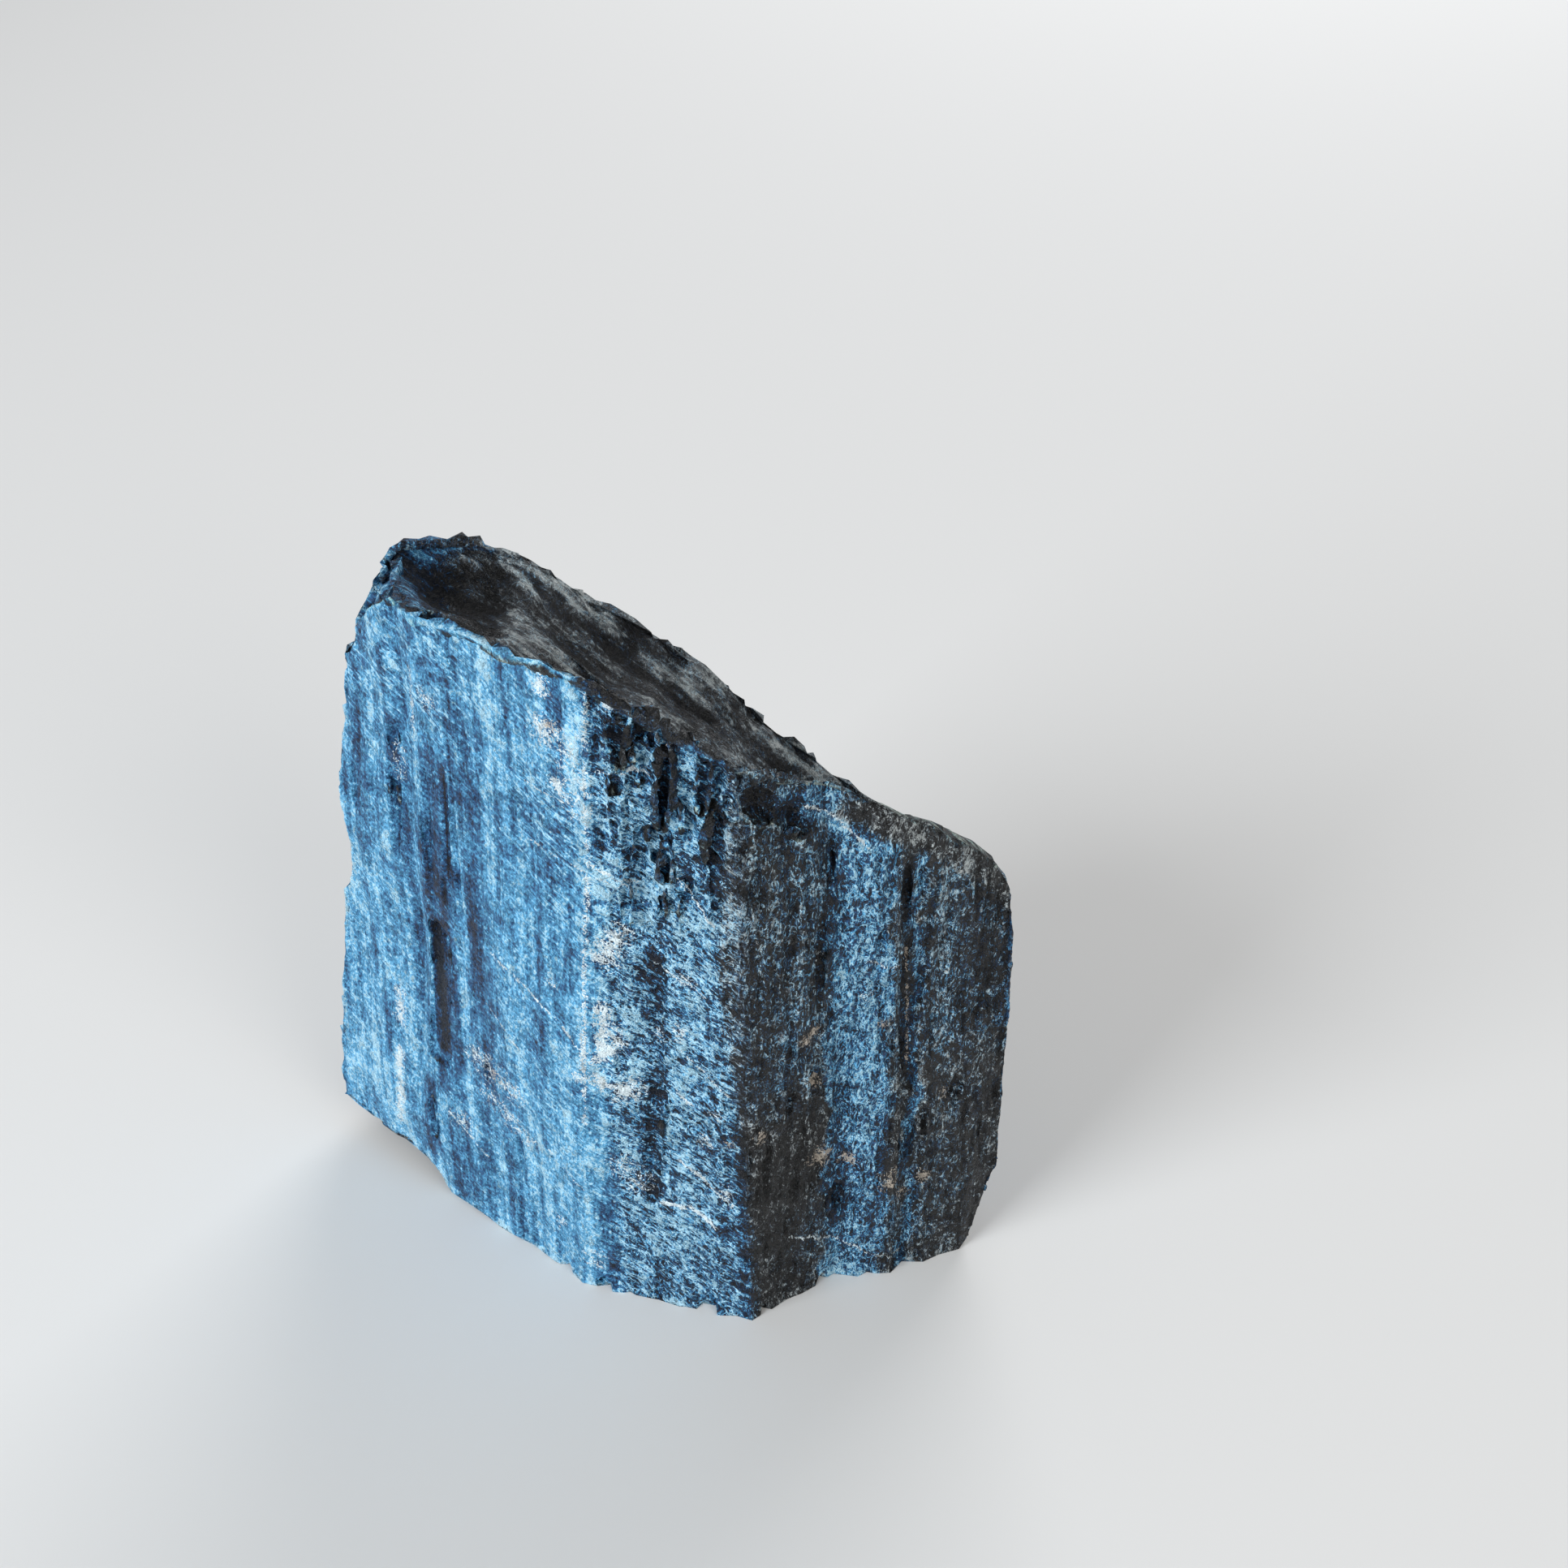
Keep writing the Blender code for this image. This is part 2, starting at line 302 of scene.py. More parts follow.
# Long hollows in the outline: place, half sizes and turn. The first is at the right end.
END_HOLLOWS = [((21.9, 13.5, 17.5), (2.0, 9.0, 16.5), 0), ((-32.9, 21.0, 32.0), (2.2, 3.0, 5.5), 0),
               ((-37.2, 23.4, 4.5), (2.6, 3.0, 3.0), 0), ((-29.6, 18.6, 51.2), (1.3, 3.0, 2.0), 20)]

for (x, z), half_sizes, turn in SCOOP:
    bite(on_front(x, z), half_sizes, turn, faces=2)
for x, z, half in FOOT_BITES:
    bite(on_front(x, z), half * chance.uniform(*FOOT_UNEVEN, 3), chance.uniform(0, 360, 3), faces=2)
for middle, half_sizes, turn in END_HOLLOWS:
    bite(middle, half_sizes, (0, turn, 0), faces=3)

# %% The sunken strip: a flat chisel, deeper at its right
STRIP_TOP, STRIP_FOOT = (-23.3, 28.9), (-24.7, 15.0)
STRIP_HALF_SIZE = (1.15, 0.45, 7.0)
STRIP_TURN, STRIP_TILT, STRIP_SINKS = -46, 5.5, 1.5

top_end, foot_end = on_front(*STRIP_TOP), on_front(*STRIP_FOOT)
inward = np.array((-math.sin(math.radians(STRIP_TURN)), math.cos(math.radians(STRIP_TURN))))
lean_in = math.degrees(math.atan2((top_end - foot_end)[:2] @ inward, STRIP_TOP[1] - STRIP_FOOT[1]))
bpy.ops.mesh.primitive_cube_add(size=2, location=((top_end + foot_end) / 2 + FRONT_CORNER) * MM,
                                scale=[half * MM for half in STRIP_HALF_SIZE],
                                rotation=radians((-lean_in - STRIP_SINKS, STRIP_TILT, STRIP_TURN)))
print("strip cut, leaning in by", round(lean_in, 1), "degrees")
chisels.append(bpy.context.object)

# %% One Boolean for all the bites
bpy.ops.object.select_all(action="DESELECT")
for chisel in chisels:
    chisel.select_set(True)
bpy.context.view_layer.objects.active = chisels[0]
bpy.ops.object.join()
cutter = bpy.context.object
bpy.ops.object.transform_apply(location=True, rotation=True, scale=True)
reskin(cutter, CARVING_VOXEL / 2)
only(stone)
cut = stone.modifiers.new("bites", "BOOLEAN")
cut.operation = "DIFFERENCE"
cut.solver = "MANIFOLD"
cut.object = cutter
before = len(stone.data.polygons)
bpy.ops.object.modifier_apply(modifier=cut.name)
bpy.data.objects.remove(cutter)
print("bites taken:", before, "faces became", len(stone.data.polygons))

# %% A finer skin for the fine relief
VOXEL = 0.22
SOFTENING_ROUNDS = 2


def smooth(rounds, group=""):
    """Wears the skin down: all of it, or where the group says."""
    soften = stone.modifiers.new("soften", "SMOOTH")
    soften.iterations = rounds
    soften.vertex_group = group
    bpy.ops.object.modifier_apply(modifier=soften.name)


def keep_the_stone():
    """Leaves only what hangs together with the highest point, and drops loose crumbs."""
    only(stone)
    bpy.ops.object.mode_set(mode="EDIT")
    bpy.ops.mesh.select_mode(type="VERT")
    bpy.ops.mesh.select_all(action="DESELECT")
    bpy.ops.object.mode_set(mode="OBJECT")
    highest = max(stone.data.vertices, key=lambda vertex: vertex.co.z)
    highest.select = True
    bpy.ops.object.mode_set(mode="EDIT")
    bpy.ops.mesh.select_linked()
    bpy.ops.mesh.select_all(action="INVERT")
    bpy.ops.mesh.delete(type="VERT")
    bpy.ops.object.mode_set(mode="OBJECT")


reskin(stone, VOXEL)
keep_the_stone()
smooth(SOFTENING_ROUNDS)
print("skin of", len(stone.data.polygons), "quads")

# %% [markdown]
# ## Knowing one face from another
# The sides of the prism, the broken top and the broken base each get their own treatment. Painting
# weights by hand would take hours, so the weights are worked out from where each point is and
# which way the stone faces around it.


# %% Faces, breaks and edges
FACING_ROUNDS = 28
EDGE_ROUNDS = 50

place, facing = places(), facings(FACING_ROUNDS)
stands_out = heights(EDGE_ROUNDS, facing)
side = ramp(np.abs(facing[:, 2]), 0.42, 0.26)
top = ramp(facing[:, 2], 0.26, 0.42)
base = ramp(facing[:, 2], -0.26, -0.42)
front = side * ramp(facing[:, 1], -0.2, -0.45)
inland = ramp(stands_out, 0.4, 0.15)
on_floor = ramp(place[:, 2], 0.3, 2.0)
print("share of the skin on the sides", round(float(side.mean()), 2), "top", round(float(top.mean()), 2))

# %% [markdown]
# ## Relief from patterns
# A Displace modifier pushes the skin in and out by a texture. The texture is read through an
# empty: where the empty is stretched, the pattern is stretched too, so one noise gives round
# grains, long growth lines or slanting cracks. Each pass is applied before the next, because
# every pass should follow the surface that the last one left.


# %% Paint, pattern and relief
WEIGHT_STEPS = 32


def paint(name, weights):
    """A vertex group with these weights, in steps, which is much quicker than one by one."""
    group = stone.vertex_groups.new(name=name)
    steps = np.rint(np.clip(weights, 0, 1) * WEIGHT_STEPS).astype(int)
    for step in range(1, WEIGHT_STEPS + 1):
        chosen = np.flatnonzero(steps == step)
        if len(chosen):
            group.add(chosen.tolist(), step / WEIGHT_STEPS, "REPLACE")
    return name


def cloud(name, size, stretch=(1, 1, 1), turn=(0, 0, 0), depth=2, hard=False,
          basis="ORIGINAL_PERLIN", cut=None):
    """A cloud texture, size in mm, and the empty that stretches and turns it. A cut makes it on or off."""
    texture = bpy.data.textures.new(name, "CLOUDS")
    texture.noise_scale = size
    texture.noise_depth = depth
    texture.noise_basis = basis
    texture.noise_type = "HARD_NOISE" if hard else "SOFT_NOISE"
    if cut:
        texture.use_color_ramp = True
        for stop, position, shade in zip(texture.color_ramp.elements, cut, (0, 1)):
            stop.position, stop.color = position, (shade, shade, shade, 1)
    grain = bpy.data.objects.new(name + "_grain", None)
    grain.scale = [MM * amount for amount in stretch]
    grain.rotation_euler = radians(turn)
    bpy.context.scene.collection.objects.link(grain)
    return texture, grain


def relief(pattern, depth, group, mid=0.5):
    """Pushes the painted part of the skin in and out by the pattern, depth in mm."""
    texture, grain = pattern
    bpy.context.view_layer.update()
    displace = stone.modifiers.new(texture.name, "DISPLACE")
    displace.texture = texture
    displace.texture_coords = "OBJECT"
    displace.texture_coords_object = grain
    displace.strength = depth * MM
    displace.mid_level = mid
    displace.vertex_group = group
    bpy.ops.object.modifier_apply(modifier=displace.name)
    bpy.data.objects.remove(grain)


# %% [markdown]
# ## Worn corners
# The edges between the front faces are not knife edges: they are worn round, and the right
# shoulder is the roundest. A Smooth modifier wears them down where a weight says so.

# %% Wear the corners round
# The height of the broken rim against x, right of the front corner.
SHOULDER = [(3, 50.0), (5, 48.7), (9, 46.4), (14.5, 42.3), (18, 38.8), (20.5, 33.7)]
CORNER_ROUNDS, SHOULDER_ROUNDS, RIDGE_ROUNDS = 45, 90, 50

rim_height = np.interp(place[:, 0], *np.array(SHOULDER, float).T)
under_rim = ramp(place[:, 2], rim_height - 4, rim_height - 1.5)
on_shoulder = ramp(place[:, 0], 3, 6) * under_rim * ramp(place[:, 1], 16, 13)
corner = np.exp(-(place[:, 0] / 2.2) ** 2) + np.exp(-((place[:, 0] - FACE_EDGE_X) / 3.0) ** 2)
paint("corners", corner * ramp(place[:, 1], 8, 6) * ramp(place[:, 2], 1, 3))
paint("shoulder", on_shoulder)
# The ridge behind the trough is worn too: its outline runs in long steps, without teeth.
ridge_line = ramp(stands_out, 0.1, 0.6) * ramp(place[:, 2], 16, 20) * ramp(place[:, 1], 11, 14)
paint("ridge_line", ridge_line)
smooth(CORNER_ROUNDS, "corners")
smooth(SHOULDER_ROUNDS, "shoulder")
smooth(RIDGE_ROUNDS, "ridge_line")

# %% [markdown]
# ## Growth lines on the sides
# A tourmaline grows as a bundle of needles along its length, so its sides are grooved from end to
# end: broad flutes, blocks of needles that end at different depths, and finer lines on them.
# Across them run short cracks, which slant a little more steeply on the middle face.

# %% Where each kind of growth shows
across, up = place[:, 0], place[:, 2]
left_face = front * ramp(across, -8.5, -13.0)
shards = front * ramp(across, -13.0, -8.5) * ramp(across, 2.5, -0.5)
high_shards = shards * ramp(up, 32, 42)
low_shards = shards - high_shards
needles = front * ramp(across, -1.0, 1.0)
side *= 1 - ridge_line
open_side = side * (0.3 + 0.7 * inland)
paint("side", open_side * (1 - 0.60 * left_face - 0.45 * low_shards - 0.15 * needles))
paint("fine_side", side * (1 - 0.50 * left_face - 0.35 * low_shards))
paint("slits", open_side * (0.45 * (1 - front) + high_shards + 0.10 * low_shards + 0.4 * needles))
paint("cross", side * (0.2 + 0.3 * high_shards))
high_left = left_face * ramp(up, 34, 46)
paint("slant", (0.65 * shards + 0.35 * high_shards) * (0.4 + 0.6 * inland) + 0.25 * high_left)
paint("scales", side * (0.45 + 0.4 * shards + 0.3 * left_face * ramp(up, 34, 50)))
paint("crumple", side * (0.2 + 0.8 * shards) * (0.3 + 0.7 * inland))

# %% Growth lines and cross cracks
relief(cloud("flutes", 2.6, (1, 1, 30), (0, 1.5, 0), depth=1), 0.7, "side", mid=0.6)
relief(cloud("blocks", 1.3, (1, 1, 7), (0, 2, -38), depth=1, basis="CELL_NOISE"), 0.30, "side", mid=0.7)
relief(cloud("small_blocks", 0.7, (1, 1, 6), (0, 2, -30), depth=1, basis="CELL_NOISE"), 0.16, "fine_side")
relief(cloud("slits", 0.85, (1, 1, 7), (0, 2, 0), depth=2, cut=(0.34, 0.46)), 0.6, "slits", mid=1.0)
relief(cloud("lines", 0.8, (1, 1, 24), (0, 1.5, 0), depth=2, hard=True), 0.18, "fine_side")
relief(cloud("cross_cracks", 1.0, (4, 4, 1), (0, 10, 0), depth=2, hard=True), 0.22, "cross")
relief(cloud("slant_cracks", 0.9, (3.5, 3.5, 1), (0, 27, 0), depth=3, hard=True), 0.42, "slant")
relief(cloud("scales", 1.1, (2.4, 2.4, 1), (0, 26, 0), depth=1, basis="VORONOI_F2_F1"), 0.22, "scales",
       mid=0.3)
relief(cloud("crumple", 1.5, (1.3, 1.3, 1), (0, 32, 0), depth=3, hard=True), 0.55, "crumple", mid=0.4)

# %% [markdown]
# ## The broken ends
# The top and base broke off rather than grew. They are uneven at every scale, from lumps down to
# grit, and on the top the break runs in long ripples beside the left face.

# %% Broken relief
# How the break's ripples turn: their lengths run down to the right, and a little to the front.
BREAK_TURN = (0, 34, -14)
broken = np.clip(top + base, 0, 1)
paint("broken", broken * on_floor * (0.12 + 0.88 * inland) * (1 - 0.3 * on_shoulder))
paint("top", top * (0.12 + 0.88 * inland) * (1 - 0.6 * on_shoulder))
relief(cloud("terraces", 2.6, (9, 1, 1), BREAK_TURN, depth=1), 0.7, "top", mid=0.7)
relief(cloud("ripples", 1.3, (8, 1.1, 1.1), BREAK_TURN, depth=1, hard=True), 0.7, "top", mid=0.75)
relief(cloud("lumps", 3.6, depth=2), 0.8, "broken", mid=0.75)
relief(cloud("facets", 1.8, (2.2, 1, 1), (20, 34, -14), depth=1, basis="VORONOI_F2_F1"), 0.28, "broken",
       mid=0.6)
relief(cloud("splinters", 1.0, (3.0, 1, 1), (0, 32, -14), depth=2, hard=True), 0.26, "broken")

# %% Grain all over
paint("all", np.where(place[:, 2] > 0.3, 1.0, 0.3))
relief(cloud("grain", 0.5, depth=1, hard=True), 0.13, "all")
paint("edges", ramp(heights(12, facings(6)), 0.12, 0.32))
smooth(14, "edges")

# %% [markdown]
# ## Fewer triangles where nothing happens
# The skin now has far more faces than a part in a library should carry. Decimate takes them away
# where the surface is flat and keeps them along grooves and edges.

# %% Decimate and tidy
TRIANGLES = 195000
# The front keeps more of its faces than the rest.
SPARED_FOR_FRONT, SPARING = 0.75, 2.0
SHARP_ANGLE = 50


def keep_in_box():
    """Moves any vertex that has left the block's own box back onto it."""
    inside = np.clip(places() + FRONT_CORNER, np.array(cad_low) / MM, np.array(cad_high) / MM) * MM
    stone.data.vertices.foreach_set("co", inside.astype(np.float32).ravel())
    stone.data.update()


keep_in_box()
stone.vertex_groups.clear()
thin = stone.modifiers.new("thin", "DECIMATE")
thin.ratio = TRIANGLES / sum(len(face.vertices) - 2 for face in stone.data.polygons)
thin.vertex_group = paint("spare", 1 - SPARED_FOR_FRONT * front)
thin.vertex_group_factor = SPARING
bpy.ops.object.modifier_apply(modifier=thin.name)
stone.vertex_groups.clear()
keep_in_box()
bpy.ops.object.shade_smooth_by_angle(angle=math.radians(SHARP_ANGLE))
print("stone of", sum(len(face.vertices) - 2 for face in stone.data.polygons), "triangles")

# %% [markdown]
# ## Painting amounts
# The finish reads a few painted amounts from the mesh: how frosted the skin is, with painted sheen and
# shade in it, how much painted blue sheen it shows, where white powder lies, and where it is stained.
# They are attributes, so they stay with the surface.

# %% Nearness to a route
ROUTE_STEP = 1.0


def front_route(points):
    """A route on the front faces through (x, z) points."""
    route = []
    for (x0, z0), (x1, z1) in zip(points, points[1:]):
        count = max(1, round(math.hypot(x1 - x0, z1 - z0) / ROUTE_STEP))
        route += [(x0 + (x1 - x0) * i / count, z0 + (z1 - z0) * i / count) for i in range(count)]
    route.append(points[-1])
    return np.array([on_front(x, z) for x, z in route])


def nearness(points, reach):
    """1 on the route and 0 at reach from it, in mm."""
    route = front_route(points)
    near = np.flatnonzero(((place > route.min(0) - reach) & (place < route.max(0) + reach)).all(1))
    spots = place[near]
    best = np.full(len(near), reach, np.float64)
    for start, end in list(zip(route, route[1:])) or [(route[0], route[0])]:
        along = end - start
        share = np.clip((spots - start) @ along / max(along @ along, 1e-9), 0, 1)
        best = np.minimum(best, np.linalg.norm(spots - start - share[:, None] * along, axis=1))
    found = np.zeros(len(place))
    found[near] = 1 - best / reach
    return found


# %% How frosted the front is, with painted sheen and shade
# Against x, at mid height: (x, how frosted). The left and middle faces, turned to the cool light, carry
# painted sheen; the right face, turned away, painted shade.
FROST_AND_SHEEN_ACROSS = [
    (-34, 0.69), (-29, 0.71), (-26, 0.68), (-21, 0.62), (-17, 0.62), (-12, 0.65), (-9.5, 0.70),
    (-7.4, 0.62), (-4, 0.61), (-2.6, 0.56), (-1.2, 0.47), (0.5, 0.34), (2, 0.25), (5.4, 0.24), (6.4, 0.50),
    (7.5, 0.58), (10.0, 0.58), (10.9, 0.40), (12.0, 0.34), (12.5, 0.50), (13.4, 0.34), (14.0, 0.20),
    (14.4, 0.31), (15.4, 0.24), (16.2, 0.15), (21, 0.13)
]
# The front edge leaves x = 0 on its way up: (height, how far).
EDGE_WANDER = [(0, 1.1), (15, 0.4), (25, -0.3), (34, -1.4), (42, -0.7), (51, -0.3)]
EDGE_REACH = 5.0
# Places with more or less frost and painted sheen: (x, z), half sizes, change.
FROST_AND_SHEEN_SPOTS = [
    ((-16.5, 43), (3.5, 6), -0.05), ((-12.5, 50), (2.5, 4), 0.10), ((-27, 46), (3, 6), 0.05),
    ((-7.5, 51), (2.4, 4), 0.13), ((-2.2, 49.5), (1.8, 4), 0.18), ((-3.0, 36), (2.2, 9), 0.12),
    ((-5, 26), (4, 9), 0.03), ((-4, 45), (5, 7), 0.13), ((-4, 34), (5, 5), 0.09),
    ((8.6, 10), (3.0, 5), -0.20), ((8.6, 23), (1.6, 4), 0.06), ((3.0, 8), (3.0, 8), -0.14),
    ((13.0, 8), (3.0, 4), 0.08), ((3.5, 49.5), (4.5, 1.8), -0.04), ((15, 36), (4, 3), 0.08),
    ((-16, 9), (8, 7), 0.06), ((-9, 22), (1.6, 8), 0.10), ((-20, 38), (2.0, 8), -0.05),
    ((-3.5, 5), (4, 4), -0.05), ((8.3, 38), (1.6, 4), 0.05)
]
# Routes with more or less frost and painted sheen: points, reach, change. Most darker routes follow the gaps
# and the scoop under the rim: painted shade in these hollows. Two follow the sunken strip.
FROST_AND_SHEEN_ROUTES = [
    ([(-6.2, 34.0), (-6.4, 24.0), (-6.8, 18.5), (-7.2, 11.5)], 1.5, -0.42),
    ([(-5.0, 52.5), (-5.5, 45.5)], 0.9, -0.5), ([(-6.0, 45), (-5.3, 41.5)], 0.9, -0.4),
    ([(-1.5, 48), (-1.7, 43.5)], 0.9, -0.5), ([(-2.3, 52), (-2.5, 48)], 0.8, -0.45),
    ([(-6.2, 55), (-5.9, 52)], 0.6, -0.4), ([(-8.2, 53.5), (-8.1, 52.3)], 0.8, -0.4),
    ([(0.6, 49.2), (1.6, 48.0), (3.2, 46.6)], 1.5, -0.55), ([(3.2, 46.6), (5.0, 44.0)], 1.0, -0.3),
    ([(6.3, 43.8), (6.2, 39), (5.7, 29)], 0.9, -0.4), ([(11.7, 40.5), (11.8, 33), (12.0, 20)], 0.8, -0.45),
    ([(-22.9, 29.2), (-23.8, 17.0)], 1.4, -0.30), ([(-25.0, 28.0), (-25.4, 16.3)], 1.2, -0.16),
    ([(-23.2, 44.7), (-23.9, 30.1)], 1.0, -0.17), ([(-22.1, 44.0), (-22.7, 31.0)], 0.8, -0.16),
    ([(-21.3, 44.5), (-21.9, 30.5)], 0.6, -0.12), ([(-25.8, 42.5), (-26.8, 32.3)], 1.4, -0.13),
    ([(-25.5, 45.8), (-25.9, 42.8)], 1.1, -0.25), ([(-24.2, 15.6), (-24.4, 12.7)], 1.0, -0.30),
    ([(-25.5, 11.9), (-26.3, 4.7)], 1.5, -0.30), ([(-28.9, 18.9), (-29.8, 11.8)], 1.2, -0.25),
    ([(-20.9, 56.0), (-21.3, 34.0)], 0.6, -0.10), ([(6.9, 10.4), (7.1, 6.8)], 1.2, -0.3),
    ([(2.2, 20.0), (1.8, 8.0)], 2.0, -0.12), ([(4.3, 46.6), (5.4, 45.7), (6.6, 44.4)], 1.0, 0.30),
    ([(6.6, 44.4), (8.8, 42.2)], 0.6, 0.25), ([(2.2, 51.0), (3.6, 49.7), (5.0, 49.2)], 0.5, 0.35),
    ([(1.1, 47.0), (3.0, 45.4), (4.6, 43.2)], 0.5, 0.4), ([(12.6, 38.9), (12.7, 32.0)], 0.6, 0.22),
    ([(14.4, 38.2), (14.7, 30.0)], 0.6, 0.2), ([(0.7, 43.0), (0.8, 40.1)], 0.5, 0.25),
    ([(2.3, 42.4), (2.3, 32.5)], 0.45, 0.25), ([(3.4, 41.4), (3.4, 38.9)], 0.45, 0.22),
    ([(16.0, 20.0), (16.2, 16.0)], 0.8, 0.2), ([(-10, 41.2), (-6.4, 39.2), (-1.9, 36.6)], 0.9, 0.12),
    ([(-8.5, 37.6), (-5.5, 36.4), (-1.7, 34.5)], 0.8, 0.12), ([(-8.0, 50.8), (-6.6, 50.2)], 0.5, 0.25)
]
# Dark places that still carry painted blue sheen: (x, z), half sizes, how much.
BLUE_SHEEN_SPOTS = [((4.8, 46.6), (2.4, 2.0), 1.0), ((9, 6), (7, 6), 0.42), ((16, 22), (5, 20), 0.28)]
print(len(FROST_AND_SHEEN_SPOTS) + len(FROST_AND_SHEEN_ROUTES), "places more or less frosted")

# %% Helpers for painting amounts
# How frosted the other sides and the breaks are. Sides facing left get extra painted sheen, and the break
# behind the trough is painted lighter than the trough, as lit and shaded.
SIDE_FROST, LEFT_SHEEN, BUNDLE_FROST, BREAK_FROST, RIDGE_FROST_AND_LIGHT = 0.42, 0.12, 0.05, 0.24, 0.32
# Where slanting scales cover the skin: (x, z), half sizes, how much.
SCALY_SPOTS = [
    ((-20.5, 52), (3.5, 4.5), 0.9), ((-27, 49), (3.5, 6), 0.7), ((-12.8, 44.5), (2.6, 7), 0.8),
    ((-15, 20), (4, 6), 0.3), ((-5, 30), (5.5, 40), 0.8)
]


def amount(name, values):
    """Paints an amount on the mesh, one value a vertex."""
    layer = stone.data.attributes.new(name, "FLOAT", "POINT")
    layer.data.foreach_set("value", np.clip(values, 0, 1).astype(np.float32))


def spots(table):
    """The sum of round soft spots at (x, z), each with its half sizes and its amount."""
    found = np.zeros(len(place))
    for (x, z), (wide, tall), change in table:
        found += change * np.exp(-((place[:, 0] - x) / wide) ** 2 - ((place[:, 2] - z) / tall) ** 2)
    return found


# %% Frost and painted sheen on the front
place, facing = places(), facings(8)
side = ramp(np.abs(facing[:, 2]), 0.55, 0.3)
front = side * ramp(facing[:, 1], -0.1, -0.35)
shift = np.interp(place[:, 2], *np.array(EDGE_WANDER, float).T) * ramp(np.abs(place[:, 0]), EDGE_REACH, 1)
# Bands on the right face waver a little on their way up.
up = place[:, 2]
sway = 0.30 * np.sin(0.55 * up + 1) + 0.22 * np.sin(1.3 * up) + 0.12 * np.sin(2.9 * up + 2)
waver = ramp(place[:, 0], 0, 3) * sway
across = np.interp(place[:, 0] - shift + waver, *np.array(FROST_AND_SHEEN_ACROSS, float).T)
rim_height = np.interp(place[:, 0], *np.array(SHOULDER, float).T)
# On the rounded shoulder under the rim the painted sheen gives way: middling frost, and little blue.
on_shoulder = front * ramp(place[:, 0], 3, 6) * ramp(up, rim_height - 4.2, rim_height - 2.0)
across = across + on_shoulder * (0.46 - across) * 0.85
# Painted blue sheen: the reflection of the cool light, strongest where the front is most frosted and lit,
# fading on the shoulder.
blue_sheen = np.maximum(ramp(across, 0.30, 0.54), 0.36 * ramp(up, 14, 24)) * (1 - 0.9 * on_shoulder)
blue_sheen = np.maximum(blue_sheen, spots(BLUE_SHEEN_SPOTS))
across += spots(FROST_AND_SHEEN_SPOTS)
for points, reach, change in FROST_AND_SHEEN_ROUTES:
    across += change * ramp(nearness(points, reach), 0, 0.6)
print("frost on the front", np.percentile(across[front > 0.5], [5, 50, 95]).round(2))

# %% Frost and painted sheen on the other sides and the breaks
# Away from the front, bundles of needles with more or less frost follow each other round the stone.
around = np.arctan2(place[:, 1] - 14, place[:, 0] + 6)
bundles = np.sin(9 * around + 0.6) + np.sin(23 * around + 0.04 * up)
bundles += np.sin(41 * around + 1) * ramp(up, 4, 20)
behind_front = place[:, 1] - np.vectorize(front_y)(place[:, 0])
on_side = SIDE_FROST + LEFT_SHEEN * ramp(-facing[:, 0], -0.1, 0.8) + BUNDLE_FROST * bundles
on_side -= 0.08 * ramp(up, 12, 0)
# The break behind the trough is painted lighter than the trough near the rim: frost with painted light and
# shade.
elsewhere = side * on_side + (1 - side) * (BREAK_FROST + RIDGE_FROST_AND_LIGHT * ramp(behind_front, 8, 13))
# The left end of the top gets the same frost and painted sheen as the left face, as if lit from the left.
corner = (1 - side) * ramp(place[:, 0], -20, -26) * ramp(place[:, 2], 48, 54)
amount("frost_and_sheen", front * across + (1 - front) * (elsewhere + 0.22 * corner))
# Away from the front the painted blue sheen is weak on the breaks and follows the bundles on the sides.
blue_sheen_elsewhere = 0.20 * (1 - side) + side * (0.55 + 0.12 * bundles) + 0.9 * corner
amount("blue_sheen", front * blue_sheen + (1 - front) * blue_sheen_elsewhere)
amount("side", side)
amount("front", front)
left_face, middle_face = front * ramp(place[:, 0], -9, -12), front * ramp(place[:, 0], 1.0, -1.0)
other_sides = side * (1 - front)
amount("rugged", 0.92 - 0.47 * left_face + 0.08 * middle_face - 0.22 * other_sides)
amount("slanted", middle_face - 0.7 * left_face)
amount("calm", left_face + 0.5 * other_sides)
amount("scaly", front * (0.12 + spots(SCALY_SPOTS)) + 0.35 * side * (1 - front))

